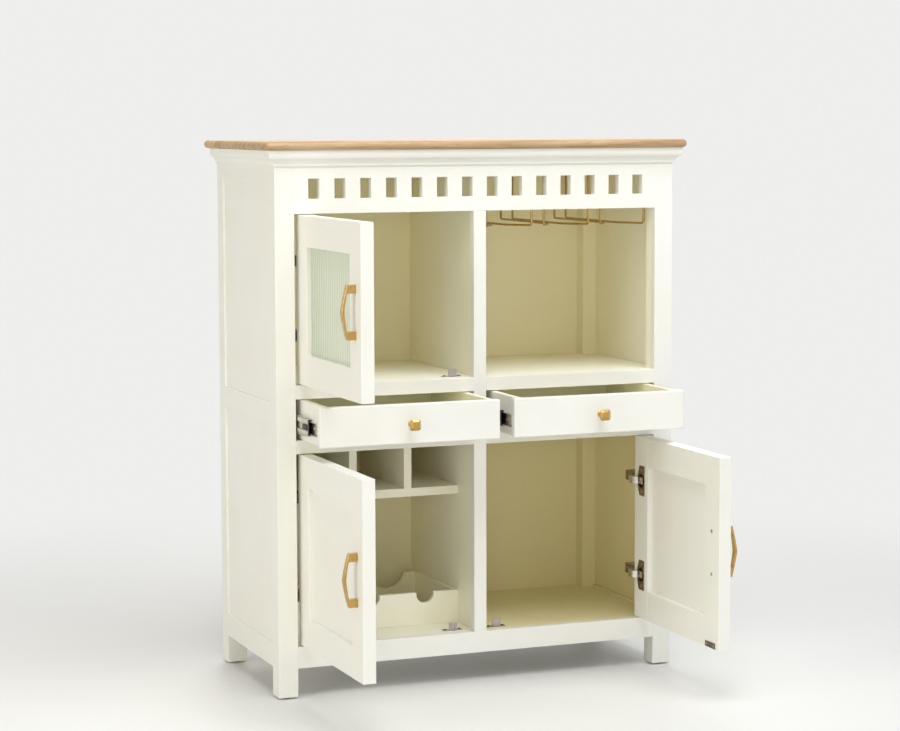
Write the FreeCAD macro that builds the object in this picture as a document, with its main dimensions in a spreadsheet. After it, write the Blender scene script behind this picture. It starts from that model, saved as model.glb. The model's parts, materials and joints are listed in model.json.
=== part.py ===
import FreeCAD, Part
import math
import os

import Sketcher

# Bar cabinet on four square posts: a row of small windows under the top, stemware racks,
# two drawers on ball bearing slides, cubbies over a bottle tray, and three hinged doors.
# Millimetres. The origin is on the floor under the centre of the four posts, +Z is up and
# the front looks along -Y. It is drawn as photographed: each door open to a right angle
# and each drawer partly out.

Vector = FreeCAD.Vector
Z_AXIS = Vector(0, 0, 1)
X_AXIS = Vector(1, 0, 0)
RIGHT_ANGLE = 90

SIZES = [
    # carcass
    ("carcass_width", 965),
    ("carcass_depth", 437),
    ("post_size", 45),
    ("leg_softening", 4),
    ("edge_ease", 0.6),
    ("glide_height", 4),
    ("glide_radius", 11),
    # heights, from the floor up
    ("bottom_rail_bottom", 68),
    ("bottom_rail_height", 48),
    ("lower_opening_height", 432),
    ("lower_rail_height", 30),
    ("drawer_opening_height", 91),
    ("upper_rail_height", 31),
    ("upper_opening_height", 375.5),
    ("frieze_height", 138.5),
    # boards
    ("rail_thickness", 20),
    ("stile_width", 30),
    ("deck_thickness", 18),
    ("dust_deck_thickness", 12),
    ("ceiling_thickness", 12),
    ("ceiling_above_window", 8),
    ("partition_thickness", 12.5),
    # top board
    ("top_thickness", 19),
    ("top_front_overhang", 27),
    ("top_side_overhang", 26),
    ("top_rear_overhang", 25),
    ("top_nosing_radius", 9.2),
    ("top_corner_radius", 11),
    # windows in the frieze
    ("window_count", 14),
    ("window_width", 25.7),
    ("window_height", 44),
    ("window_pitch", 60.3),
    ("window_sill", 32.5),
    # cornice moulding
    ("cornice_height", 34.5),
    ("cornice_projection", 17),
    ("cornice_cap", 8.5),
    ("cornice_foot", 4),
    ("cornice_cove", 15.5),
    ("cornice_cove_projection", 12),
    ("cornice_step", 1.5),
    ("cornice_cove_radius", 16),
    ("cornice_round_radius", 16),
    # sides and back
    ("side_rail_thickness", 18),
    ("side_top_rail_height", 62),
    ("side_middle_rail_rise", 34),
    ("side_middle_rail_height", 48),
    ("side_bottom_rail_height", 53),
    ("side_panel_recess", 4),
    ("side_panel_thickness", 6),
    ("back_panel_thickness", 6),
    ("back_panel_inset", 3),
    ("rear_rail_thickness", 18),
    # cubbies
    ("cubby_front", 121.4),
    ("cubby_height", 129),
    ("cubby_shelf_thickness", 19.5),
    ("cubby_divider_thickness", 18.5),
    ("cubby_width", 114.5),
    # bottle tray
    ("tray_front_place", 120),
    ("tray_rear_gap", 46),
    ("tray_board_thickness", 12),
    ("tray_height", 76),
    ("bottle_count", 3),
    ("tray_spare", 32.25),
    ("neck_width", 42),
    ("neck_depth", 25),
    ("neck_radius", 21.5),
    ("cradle_width", 88),
    ("cradle_depth", 37),
    # stemware racks
    ("rack_wire_diameter", 4.8),
    ("rack_wire_sides", 8),
    ("rack_bend_step", 24),
    ("rack_count", 3),
    ("rack_shift", 3.875),
    ("rack_spare", 38.75),
    ("rack_gap", 30.5),
    ("rack_front_place", 52),
    ("rack_flare_place", 115),
    ("rack_rear_gap", 28),
    ("rack_drop", 124),
    ("rack_bend_radius", 6),
    ("rack_flare_radius", 40),
    # doors, in the closed place: flush with the front of the posts
    ("door_gap", 2),
    ("door_thickness", 29),
    ("door_member_width", 68),
    ("door_ease", 1.5),
    ("door_panel_recess", 9.5),
    ("door_panel_thickness", 9),
    ("glass_thickness", 4),
    ("bead_width", 8),
    ("bead_thickness", 7),
    ("pivot_from_post", 15.5),
    ("pivot_from_front", 5.5),
    # handles
    ("handle_height", 114),
    ("handle_screw_spacing", 96),
    ("handle_width", 12),
    ("handle_shoulder", 19.5),
    ("handle_projection", 31.5),
    ("handle_inner_shoulder", 20),
    ("handle_inner_projection", 25.2),
    ("handle_from_edge", 34),
    # hinges
    ("hinge_from_door_end", 103),
    ("cup_radius", 17.5),
    ("cup_depth", 12.5),
    ("cup_wall", 1),
    ("cup_fit", 0.05),
    ("cup_from_edge", 35),
    ("cup_flange_height", 70),
    ("cup_flange_width", 34),
    ("cup_flange_thickness", 1.5),
    ("cup_flange_waist", 28),
    ("cup_flange_taper", 9),
    ("link_height", 16),
    ("link_thickness", 2.6),
    ("link_length", 41.8),
    ("link_half_angle", 85),
    ("link_runs", 5),
    ("link_end_sides", 3),
    ("link_eye_radius", 2.3),
    ("link_pin_radius", 1),
    ("link_pin_fit", 0.05),
    ("link_pivot_from_post", 26.5),
    ("link_pivot_from_front", 33.3),
    ("link_side_gap", 0.4),
    ("link_seat_gap", 0.7),
    ("link_closed_angle", 3.4),
    ("link_turn_share", 0.71),
    ("cup_link_width", 8),
    ("cup_link_height", 16),
    ("arm_cheek_thickness", 3),
    ("arm_front_place", 31.2),
    ("arm_tip_width", 4.6),
    ("arm_tip_length", 9.2),
    ("arm_knee_place", 52),
    ("arm_slot_end", 56.6),
    ("arm_plate_front", 37),
    ("arm_length", 50),
    ("arm_height", 30),
    ("arm_plate_thickness", 2),
    ("arm_plate_height", 50),
    ("hinge_block_depth", 48),
    ("hinge_block_height", 86),
    # catches and strikes
    ("strike_width", 46),
    ("strike_height", 13),
    ("strike_thickness", 1.5),
    ("catch_gap", 3),
    ("catch_width", 46),
    ("catch_depth", 16),
    ("catch_base_thickness", 2),
    ("catch_plate_width", 20),
    ("catch_plate_height", 18),
    ("catch_plate_thickness", 3),
    ("catch_from_stile", 38.5),
    # drawers
    ("drawer_gap", 2),
    ("drawer_out", 157),
    ("drawer_front_thickness", 19),
    ("drawer_side_thickness", 14),
    ("drawer_back_thickness", 14),
    ("drawer_bottom_thickness", 5),
    ("drawer_bottom_raise", 10),
    ("drawer_ease", 1),
    ("knob_size", 24),
    ("knob_corner_cut", 3.5),
    ("knob_thickness", 9),
    ("knob_bevel", 4.5),
    ("knob_reach", 31),
    ("knob_stem_radius", 5.5),
    # slides
    ("slide_depth_allowance", 87),
    ("slide_width", 12.7),
    ("slide_front_gap", 1.5),
    ("slide_rear_gap", 0.5),
    ("slide_centre_height", 37),
    ("slide_out", 100),
    ("slide_steel", 1.2),
    ("slide_outer_height", 45),
    ("slide_outer_depth", 8),
    ("slide_lip", 3),
    ("slide_middle_height", 37),
    ("slide_middle_inset", 2),
    ("slide_middle_depth", 9),
    ("slide_inner_height", 29),
    ("slide_inner_depth", 8.2),
    ("slide_gap", 0.3),
    ("slide_race_gap", 0.5),
    ("slide_stop_length", 22),
    ("slide_batten_height", 46),
]

doc = FreeCAD.newDocument("bar_cabinet")
sheet = doc.addObject("Spreadsheet::Sheet", "Sizes")
places = doc.addObject("App::VarSet", "Places")


class Size:
    """A number and the formula that gives it from the sheet."""

    def __init__(self, number, formula):
        self.number = number
        self.formula = formula

    def __add__(self, other):
        other = as_size(other)
        return Size(self.number + other.number, f"({self.formula} + {other.formula})")

    def __sub__(self, other):
        other = as_size(other)
        return Size(self.number - other.number, f"({self.formula} - {other.formula})")

    def __mul__(self, other):
        other = as_size(other)
        return Size(self.number * other.number, f"({self.formula} * {other.formula})")

    def __truediv__(self, other):
        other = as_size(other)
        return Size(self.number / other.number, f"({self.formula} / {other.formula})")

    def __neg__(self):
        return Size(-self.number, f"(0 - {self.formula})")


def as_size(value):
    """A plain number as a Size; a Size as it is."""
    if isinstance(value, Size):
        return value
    return Size(float(value), f"({float(value)})")


def root(size):
    return Size(math.sqrt(size.number), f"sqrt({size.formula})")


def cosine(degrees):
    return Size(math.cos(math.radians(degrees.number)), f"cos({degrees.formula} * 1 deg)")


def sine(degrees):
    return Size(math.sin(math.radians(degrees.number)), f"sin({degrees.formula} * 1 deg)")


class Group:
    """Sizes by name."""


s = Group()
p = Group()


def fill_sheet():
    for row, (name, number) in enumerate(SIZES, start=1):
        sheet.set(f"A{row}", name)
        sheet.set(f"B{row}", str(number))
        sheet.setAlias(f"B{row}", name)
        setattr(s, name, Size(float(number), f"Sizes.{name}"))
    doc.recompute()


def place(name, size):
    """A length that follows from the sheet, kept under its own name."""
    places.addProperty("App::PropertyFloat", name, "Places")
    places.setExpression(name, size.formula)
    setattr(p, name, Size(size.number, f"Places.{name}"))


def set_out():
    """The lines that several pieces share."""
    place("half_width", s.carcass_width / 2)
    place("half_depth", s.carcass_depth / 2)
    place("front", -p.half_depth)
    place("post_inner", p.half_width - s.post_size)
    place("stile_edge", s.stile_width / 2)
    place("opening_width", p.post_inner - p.stile_edge)
    place("bottom_deck_top", s.bottom_rail_bottom + s.bottom_rail_height)
    place("lower_rail_bottom", p.bottom_deck_top + s.lower_opening_height)
    place("drawer_opening_bottom", p.lower_rail_bottom + s.lower_rail_height)
    place("upper_rail_bottom", p.drawer_opening_bottom + s.drawer_opening_height)
    place("upper_deck_top", p.upper_rail_bottom + s.upper_rail_height)
    place("frieze_bottom", p.upper_deck_top + s.upper_opening_height)
    place("body_top", p.frieze_bottom + s.frieze_height)
    place("window_top", p.frieze_bottom + s.window_sill + s.window_height)
    place("ceiling_bottom", p.window_top + s.ceiling_above_window)
    place("partition_face", s.partition_thickness / 2)
    place("panel_face", p.half_width - s.side_panel_recess - s.side_panel_thickness)
    place("side_rail_face", p.half_width - s.side_rail_thickness)
    place("side_run", s.carcass_depth - s.post_size * 2)
    place("back_face", p.half_depth - s.back_panel_inset - s.back_panel_thickness)
    place("rail_back", p.front + s.rail_thickness)
    place("tray_width", p.post_inner - p.partition_face)
    place("bottle_pitch", (p.tray_width - s.tray_spare) / s.bottle_count)
    place("bay_width", p.panel_face - p.partition_face)
    place("rack_pitch", (p.bay_width - s.rack_spare) / s.rack_count)
    place("rack_centre", p.partition_face + p.bay_width / 2 - s.rack_shift)
    place("side_middle_rail_bottom", p.drawer_opening_bottom + s.side_middle_rail_rise)
    place("cubby_top", p.drawer_opening_bottom - s.dust_deck_thickness)
    place("cubby_shelf_top", p.cubby_top - s.cubby_height)
    place("door_width", p.opening_width - s.door_gap * 2)
    place("lower_door_height", s.lower_opening_height - s.door_gap * 2)
    place("upper_door_height", s.upper_opening_height - s.door_gap * 2)
    place("slide_start", p.front + s.drawer_front_thickness + s.slide_front_gap)
    place("slide_centre", p.drawer_opening_bottom + s.slide_centre_height)
    place("slide_length", s.carcass_depth - s.slide_depth_allowance)
    place("drawer_side_length", s.slide_front_gap + p.slide_length + s.slide_rear_gap)
    place("drawer_height", s.drawer_opening_height - s.drawer_gap * 2)
    place("drawer_bottom", p.drawer_opening_bottom + s.drawer_gap)
    place("drawer_face", p.front - s.drawer_out)
    place("drawer_side_face", p.post_inner - s.slide_width)
    doc.recompute()


def bind(thing, **sizes):
    for name, size in sizes.items():
        thing.setExpression(name, as_size(size).formula)


def move(thing, x=0, y=0, z=0, turn=None):
    """Puts a thing at x, y, z, after an optional turn about an axis by degrees."""
    if turn:
        thing.Placement = FreeCAD.Placement(Vector(0, 0, 0), FreeCAD.Rotation(*turn))
    for axis, size in zip("xyz", (x, y, z)):
        thing.setExpression(f"Placement.Base.{axis}", as_size(size).formula)
    return thing


def box_in(body, kind, length, width, height, x=0, y=0, z=0):
    """Adds a block to a body, or takes one away."""
    block = body.newObject(f"PartDesign::{kind}Box", f"{body.Name}_block")
    bind(block, Length=length, Width=width, Height=height)
    return move(block, x, y, z)


def cylinder_in(body, kind, radius, height, x=0, y=0, z=0):
    """Adds an upright cylinder to a body, or takes one away."""
    rod = body.newObject(f"PartDesign::{kind}Cylinder", f"{body.Name}_rod")
    bind(rod, Radius=radius, Height=height)
    return move(rod, x, y, z)


def ease_all(body, size):
    """A small chamfer on every edge."""
    base = body.Tip
    doc.recompute()
    chamfer = body.newObject("PartDesign::Chamfer", f"{body.Name}_ease")
    chamfer.Base = (base, ["Edge1"])
    chamfer.UseAllEdges = True
    bind(chamfer, Size=size)
    return body


def chosen_edges(body, chosen):
    """The tip of a body and the names of its edges for which chosen(edge) is true."""
    doc.recompute()
    edges = enumerate(body.Tip.Shape.Edges, start=1)
    return body.Tip, [f"Edge{number}" for number, edge in edges if chosen(edge)]


def round_edges(body, radius, chosen):
    base = chosen_edges(body, chosen)
    fillet = body.newObject("PartDesign::Fillet", f"{body.Name}_round")
    fillet.Base = base
    bind(fillet, Radius=radius)
    return body


def cut_edges(body, size, chosen):
    base = chosen_edges(body, chosen)
    chamfer = body.newObject("PartDesign::Chamfer", f"{body.Name}_cut")
    chamfer.Base = base
    bind(chamfer, Size=size)
    return body


def runs_along(axis):
    """Chooses the straight edges that run along an axis."""
    def chosen(edge):
        direction = edge.tangentAt(edge.FirstParameter)
        return edge.Curve.TypeId == "Part::GeomLine" and abs(direction.dot(axis)) > 1 - 1e-6
    return chosen


def lies_at(axis, level):
    """Chooses the edges that lie in a plane square to an axis."""
    def chosen(edge):
        heights = [vertex.Point.dot(axis) for vertex in edge.Vertexes]
        return all(abs(height - level.number) < 1e-6 for height in heights)
    return chosen


def block(name, length, width, height, x=0, y=0, z=0):
    """A square block with sharp edges."""
    body = doc.addObject("PartDesign::Body", name)
    box_in(body, "Additive", length, width, height)
    return move(body, x, y, z)


def board(name, length, width, height, x=0, y=0, z=0, ease=None):
    """A square board with eased edges."""
    return ease_all(block(name, length, width, height, x, y, z), ease or s.edge_ease)


def origin_plane(body, role):
    return next(item for item in body.Origin.OriginFeatures if item.Role == role)


def arc_between(start, end, radius, turn):
    """The short arc from start to end; turn is 1 anticlockwise and -1 clockwise."""
    middle = (start + end) / 2
    half = (end - start) / 2
    rise = math.sqrt(max(radius * radius - half.Length * half.Length, 0))
    left = Vector(-half.y, half.x, 0).normalize()
    centre = middle + left * (rise * turn)
    first, last = (start, end) if turn > 0 else (end, start)
    angles = [math.atan2(point.y - centre.y, point.x - centre.x) for point in (first, last)]
    return Part.ArcOfCircle(Part.Circle(centre, Z_AXIS, radius), *angles)


def outline(body, plane, points, arcs=None):
    """A closed outline through points; arcs gives a side's radius and turn by its number."""
    arcs = arcs or {}
    sketch = body.newObject("Sketcher::SketchObject", f"{body.Name}_outline")
    sketch.AttachmentSupport = [(origin_plane(body, plane), "")]
    sketch.MapMode = "FlatFace"
    points = [(as_size(u), as_size(v)) for u, v in points]
    spots = [Vector(u.number, v.number, 0) for u, v in points]
    count = len(spots)
    ends = []
    for side in range(count):
        start, end = spots[side], spots[(side + 1) % count]
        if side in arcs:
            radius, turn = arcs[side]
            sketch.addGeometry(arc_between(start, end, radius.number, turn), False)
            ends.append((1, 2) if turn > 0 else (2, 1))
        else:
            sketch.addGeometry(Part.LineSegment(start, end), False)
            ends.append((1, 2))
    for side in range(count):
        following = (side + 1) % count
        sketch.addConstraint(Sketcher.Constraint(
            "Coincident", side, ends[side][1], following, ends[following][0]))
    for side, (u, v) in enumerate(points):
        for kind, size in (("DistanceX", u), ("DistanceY", v)):
            number = sketch.addConstraint(Sketcher.Constraint(
                kind, -1, 1, side, ends[side][0], size.number))
            sketch.setExpression(f"Constraints[{number}]", size.formula)
    for side, (radius, turn) in arcs.items():
        number = sketch.addConstraint(Sketcher.Constraint("Radius", side, radius.number))
        sketch.setExpression(f"Constraints[{number}]", radius.formula)
    return sketch


def pad(body, sketch, depth):
    """Pads a sketch towards +X, +Y or +Z, by its plane."""
    feature = body.newObject("PartDesign::Pad", f"{body.Name}_pad")
    feature.Profile = sketch
    feature.Reversed = sketch.AttachmentSupport[0][0].Role == "XZ_Plane"
    bind(feature, Length=depth)
    return feature


def profile(name, plane, points, depth, arcs=None):
    """A body of one outline and one pad."""
    body = doc.addObject("PartDesign::Body", name)
    pad(body, outline(body, plane, points, arcs), depth)
    return body


def mirrored(name, thing):
    """The same thing on the other side of the centre plane."""
    other = doc.addObject("Part::Mirroring", name)
    other.Source = thing
    other.Normal = X_AXIS
    return other


def together(name, things):
    """Separate solids kept in one sub-part."""
    whole = doc.addObject("Part::Compound", name)
    whole.Links = things
    return whole


def both_sides(name, thing):
    return together(name, [thing, mirrored(f"{name}_right", thing)])


def common(name, first, second):
    shared = doc.addObject("Part::Common", name)
    shared.Base = first
    shared.Tool = second
    return shared


# Carcass frame

def posts():
    """Four square posts with softened feet."""
    made = []
    height = p.body_top - s.glide_height
    rear = p.half_depth - s.post_size
    for name, y in (("front", p.front), ("rear", rear)):
        post = doc.addObject("PartDesign::Body", f"{name}_post")
        box_in(post, "Additive", s.post_size, s.post_size, height)
        cut_edges(post, s.leg_softening, lies_at(Z_AXIS, as_size(0)))
        move(post, -p.half_width, y, s.glide_height)
        made += [post, mirrored(f"{name}_post_right", post)]
    return together("posts", made)


def glides():
    """A round glide nailed under each post."""
    made = []
    x = p.half_width - s.post_size / 2
    y = p.half_depth - s.post_size / 2
    for number, (side, end) in enumerate(((-1, -1), (1, -1), (-1, 1), (1, 1))):
        glide = doc.addObject("Part::Cylinder", f"glide_{number}")
        bind(glide, Radius=s.glide_radius, Height=s.glide_height)
        made.append(move(glide, x * side, y * end))
    return together("glides", made)


def top_board():
    """The top with a rounded nosing all round."""
    body = doc.addObject("PartDesign::Body", "top_board")
    width = s.carcass_width + s.top_side_overhang * 2
    depth = s.carcass_depth + s.top_front_overhang + s.top_rear_overhang
    box_in(body, "Additive", width, depth, s.top_thickness)
    round_edges(body, s.top_corner_radius, runs_along(Z_AXIS))
    bottom = lies_at(Z_AXIS, as_size(0))
    top = lies_at(Z_AXIS, s.top_thickness)
    round_edges(body, s.top_nosing_radius, lambda edge: bottom(edge) or top(edge))
    return move(body, -(width / 2), p.front - s.top_front_overhang, p.body_top)


def cornice_outline():
    """From the foot of the moulding up: foot, cove, step, quarter round and cap."""
    reach = s.cornice_projection
    cove_out = s.cornice_cove_projection
    step_out = cove_out + s.cornice_step
    cap = s.cornice_height - s.cornice_cap
    points = [
        (0, 0),
        (-s.cornice_foot, 0),
        (-cove_out, s.cornice_cove),
        (-step_out, s.cornice_cove),
        (-reach, cap),
        (-reach, s.cornice_height),
        (0, s.cornice_height),
    ]
    arcs = {1: (s.cornice_cove_radius, 1), 3: (s.cornice_round_radius, -1)}
    return points, arcs


def cornice():
    """A mitred moulding across the front and back along both sides."""
    points, arcs = cornice_outline()
    reach = s.cornice_projection
    top = s.cornice_height
    edge = p.half_width + reach
    run = profile("cornice_front_run", "YZ_Plane", points, edge * 2, arcs)
    move(run, -edge, p.front)
    plan = profile("cornice_front_plan", "XY_Plane", [
        (-p.half_width, p.front), (-edge, p.front - reach), (edge, p.front - reach),
        (p.half_width, p.front)], top)
    front = move(common("cornice_front", run, plan), 0, 0, p.body_top - top)
    side_run = profile("cornice_side_run", "XZ_Plane", points, s.carcass_depth + reach, arcs)
    move(side_run, -p.half_width, p.front - reach)
    side_plan = profile("cornice_side_plan", "XY_Plane", [
        (-p.half_width, p.front), (-p.half_width, p.half_depth), (-edge, p.half_depth),
        (-edge, p.front - reach)], top)
    side = move(common("cornice_left", side_run, side_plan), 0, 0, p.body_top - top)
    return together("cornice", [front, side, mirrored("cornice_right", side)])


def frieze_rail():
    """The board under the top, with its row of windows."""
    body = doc.addObject("PartDesign::Body", "frieze_rail")
    box_in(body, "Additive", p.post_inner * 2, s.rail_thickness, s.frieze_height)
    margin = p.post_inner - (s.window_pitch * (s.window_count - 1) + s.window_width) / 2
    top = s.window_sill + s.window_height
    window = outline(body, "XZ_Plane", [
        (margin, s.window_sill), (margin + s.window_width, s.window_sill),
        (margin + s.window_width, top), (margin, top)])
    pocket = body.newObject("PartDesign::Pocket", "window")
    pocket.Profile = window
    pocket.Type = "ThroughAll"
    doc.recompute()
    row = body.newObject("PartDesign::LinearPattern", "windows")
    row.Originals = [pocket]
    row.Direction = (origin_plane(body, "X_Axis"), [""])
    row.Mode = "Spacing"
    bind(row, Offset=s.window_pitch, Occurrences=s.window_count)
    body.Tip = row
    return move(body, -p.post_inner, p.front, p.frieze_bottom)


def front_frame():
    """The centre stile and the rails between it and the posts."""
    stile = board("centre_stile", s.stile_width, s.rail_thickness,
                  p.frieze_bottom - p.bottom_deck_top, -p.stile_edge, p.front, p.bottom_deck_top)
    bottom = board("bottom_rail", p.post_inner * 2, s.rail_thickness, s.bottom_rail_height,
                   -p.post_inner, p.front, s.bottom_rail_bottom)
    made = []
    for name, height, z in (("lower", s.lower_rail_height, p.lower_rail_bottom),
                            ("upper", s.upper_rail_height, p.upper_rail_bottom)):
        rail = board(f"{name}_drawer_rail", p.opening_width, s.rail_thickness, height,
                     -p.post_inner, p.front, z)
        made += [rail, mirrored(f"{name}_drawer_rail_right", rail)]
    return [stile, bottom, together("drawer_rails", made)]


def side_frames():
    """Rails and thin panels between the posts of each side."""
    y = p.front + s.post_size
    top = p.body_top - s.side_top_rail_height
    middle_top = p.side_middle_rail_bottom + s.side_middle_rail_height
    bottom_top = s.bottom_rail_bottom + s.side_bottom_rail_height
    rails = []
    for name, z, height in (("top", top, s.side_top_rail_height),
                            ("middle", p.side_middle_rail_bottom, s.side_middle_rail_height),
                            ("bottom", s.bottom_rail_bottom, s.side_bottom_rail_height)):
        rail = block(f"side_{name}_rail", s.side_rail_thickness, p.side_run, height,
                     -p.half_width, y, z)
        rails += [rail, mirrored(f"side_{name}_rail_right", rail)]
    panels = []
    for name, z, end in (("upper", middle_top, top),
                         ("lower", bottom_top, p.side_middle_rail_bottom)):
        panel = block(f"side_{name}_panel", s.side_panel_thickness, p.side_run, end - z,
                      -(p.half_width - s.side_panel_recess), y, z)
        panels += [panel, mirrored(f"side_{name}_panel_right", panel)]
    return [together("side_rails", rails), together("side_panels", panels)]


def back():
    """The back panel and the two rails that it is fixed to."""
    height = p.body_top - s.bottom_rail_bottom
    panel = board("back_panel", p.post_inner * 2, s.back_panel_thickness, height,
                  -p.post_inner, p.back_face, s.bottom_rail_bottom)
    y = p.back_face - s.rear_rail_thickness
    low_height = s.bottom_rail_height - s.deck_thickness
    low = block("rear_low_rail", p.post_inner * 2, s.rear_rail_thickness, low_height,
                -p.post_inner, y, s.bottom_rail_bottom)
    high_bottom = p.ceiling_bottom + s.ceiling_thickness
    high = block("rear_high_rail", p.post_inner * 2, s.rear_rail_thickness,
                 p.body_top - high_bottom, -p.post_inner, y, high_bottom)
    return [panel, together("rear_rails", [low, high])]


def notched_board(name, edge, inner_edge, thickness, z):
    """A board that fills the plan and is notched round the posts.

    edge is its left end; inner_edge is its right end, or None for a board as wide as the
    carcass.
    """
    front_notch = p.front + s.post_size
    rear_notch = p.half_depth - s.post_size
    left = [
        (-p.post_inner, p.back_face), (-p.post_inner, rear_notch), (-edge, rear_notch),
        (-edge, front_notch), (-p.post_inner, front_notch), (-p.post_inner, p.rail_back)]
    if inner_edge is None:
        right = [(-x, y) for x, y in reversed(left)]
    else:
        right = [(inner_edge, p.rail_back), (inner_edge, p.back_face)]
    body = profile(name, "XY_Plane", left + right, thickness)
    return move(body, 0, 0, z)


def decks():
    """The boards that the doors and drawers close on, and the ceiling."""
    bottom = notched_board("bottom_deck", p.side_rail_face, None, s.deck_thickness,
                           p.bottom_deck_top - s.deck_thickness)
    upper = notched_board("upper_deck", p.panel_face, None, s.deck_thickness,
                          p.upper_deck_top - s.deck_thickness)
    ceiling = notched_board("ceiling_panel", p.side_rail_face, None, s.ceiling_thickness,
                            p.ceiling_bottom)
    dust = notched_board("dust_deck", p.panel_face, -p.partition_face, s.dust_deck_thickness,
                         p.drawer_opening_bottom - s.dust_deck_thickness)
    return [bottom, upper, ceiling, both_sides("dust_decks", dust)]


def partitions():
    """The upright boards behind the centre stile."""
    depth = p.back_face - p.rail_back
    made = []
    for name, z, top in (
            ("lower", p.bottom_deck_top, p.upper_deck_top - s.deck_thickness),
            ("upper", p.upper_deck_top, p.ceiling_bottom)):
        made.append(block(f"{name}_partition", s.partition_thickness, depth, top - z,
                          -p.partition_face, p.rail_back, z))
    return together("partitions", made)


def slide_battens():
    """Packing that brings the slides flush with the posts and the stile."""
    z = p.slide_centre - s.slide_batten_height / 2
    outer = block("slide_batten", p.side_rail_face - p.post_inner, p.side_run,
                  s.slide_batten_height, -p.side_rail_face, p.front + s.post_size, z)
    inner = block("slide_spacer", p.stile_edge - p.partition_face, p.slide_length,
                  s.slide_batten_height, -p.stile_edge, p.rail_back, z)
    return together("slide_battens", [
        outer, mirrored("slide_batten_right", outer),
        inner, mirrored("slide_spacer_right", inner)])


# Cubbies and bottle tray in the lower left compartment

def cubbies():
    """A shelf with two dividers up to the drawer deck."""
    y = p.front + s.cubby_front
    depth = p.back_face - y
    shelf = board("cubby_shelf", p.bay_width, depth,
                  s.cubby_shelf_thickness, -p.panel_face, y,
                  p.cubby_shelf_top - s.cubby_shelf_thickness)
    rear_notch = p.half_depth - s.post_size
    corner = box_in(shelf, "Subtractive", s.post_size, s.post_size, s.cubby_shelf_thickness,
                    -(p.half_width - p.panel_face), rear_notch - y)
    corner.Label = "notch_for_the_rear_post"
    dividers = []
    for number in (1, 2):
        x = p.partition_face + (s.cubby_width + s.cubby_divider_thickness) * number
        dividers.append(block(f"cubby_divider_{number}", s.cubby_divider_thickness, depth,
                              s.cubby_height, -x, y, p.cubby_shelf_top))
    return [shelf, together("cubby_dividers", dividers)]


def tray_board(name, gap_width, side_depth, radius, y):
    """A board across the compartment with three round-bottomed gaps in its top edge."""
    width = p.tray_width
    height = s.tray_height
    points = [(0, 0), (width, 0), (width, height)]
    arcs = {}
    count = s.bottle_count.number
    for number in range(int(count)):
        centre = width / 2 + p.bottle_pitch * ((count - 1) / 2 - number)
        right = centre + gap_width / 2
        left = centre - gap_width / 2
        if side_depth is None:
            arcs[len(points)] = (radius, -1)
            points += [(right, height), (left, height)]
        else:
            points.append((right, height))
            arcs[len(points)] = (radius, -1)
            points += [(right, height - side_depth), (left, height - side_depth)]
            points.append((left, height))
    points.append((0, height))
    body = profile(name, "XZ_Plane", points, s.tray_board_thickness, arcs)
    return move(body, -p.post_inner, y, p.bottom_deck_top)


def bottle_tray():
    """Three bottles lie with the neck in the front board and the body in the rear one."""
    half_neck = s.neck_width / 2
    neck_sagitta = s.neck_radius - root(s.neck_radius * s.neck_radius - half_neck * half_neck)
    front_y = p.front + s.tray_front_place
    front = tray_board("tray_front", s.neck_width, s.neck_depth - neck_sagitta,
                       s.neck_radius, front_y)
    half_cradle = s.cradle_width / 2
    cradle_radius = (half_cradle * half_cradle + s.cradle_depth * s.cradle_depth) / (
        s.cradle_depth * 2)
    rear_y = p.back_face - s.tray_rear_gap - s.tray_board_thickness
    rear = tray_board("tray_rear", s.cradle_width, None, cradle_radius, rear_y)
    start = front_y + s.tray_board_thickness
    ends = []
    for name, x in (("outer", -p.post_inner),
                    ("inner", -(p.partition_face + s.tray_board_thickness))):
        ends.append(block(f"tray_{name}_end", s.tray_board_thickness, rear_y - start,
                          s.tray_height, x, start, p.bottom_deck_top))
    return [front, rear, together("tray_ends", ends)]


# Stemware racks in the upper right compartment

def rounded_path(points, radii):
    """Points along a wire, with each inner point rounded in short straight steps."""
    path = [points[0]]
    for before, corner, after, radius in zip(points, points[1:], points[2:], radii):
        to_before = (before - corner).normalize()
        to_after = (after - corner).normalize()
        half_angle = to_before.getAngle(to_after) / 2
        inward = (to_before + to_after).normalize()
        centre = corner + inward * (radius / math.sin(half_angle))
        spoke = corner + to_before * (radius / math.tan(half_angle)) - centre
        sweep = math.degrees(math.pi - half_angle * 2)
        steps = math.ceil(sweep / s.rack_bend_step.number)
        for step in range(steps + 1):
            turn = FreeCAD.Rotation(to_after.cross(to_before), sweep * step / steps)
            path.append(centre + turn.multVec(spoke))
    return path + [points[-1]]


def bent_wire(points, radii, thickness):
    """A many-sided wire along a rounded path, mitred where it turns."""
    path = rounded_path(points, radii)
    sides = int(s.rack_wire_sides.number)
    reach = thickness / 2 / math.cos(math.pi / sides)
    turns = [math.pi * (2 * side + 1) / sides for side in range(sides)]
    ring = [path[0] + Vector(math.cos(turn), math.sin(turn), 0) * reach for turn in turns]
    faces = [Part.Face(Part.makePolygon(ring + ring[:1]))]
    for here, corner, after in zip(path, path[1:], path[2:] + [None]):
        along = (corner - here).normalize()
        normal = along if after is None else along + (after - corner).normalize()
        far = [spot + along * ((corner - spot).dot(normal) / along.dot(normal)) for spot in ring]
        for side in range(sides):
            loop = [ring[side - 1], ring[side], far[side], far[side - 1], ring[side - 1]]
            faces.append(Part.Face(Part.makePolygon(loop)))
        ring = far
    faces.append(Part.Face(Part.makePolygon(ring + ring[:1])))
    shell = Part.Shell(faces)
    shell.sewShape()
    return Part.Solid(shell)


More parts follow.
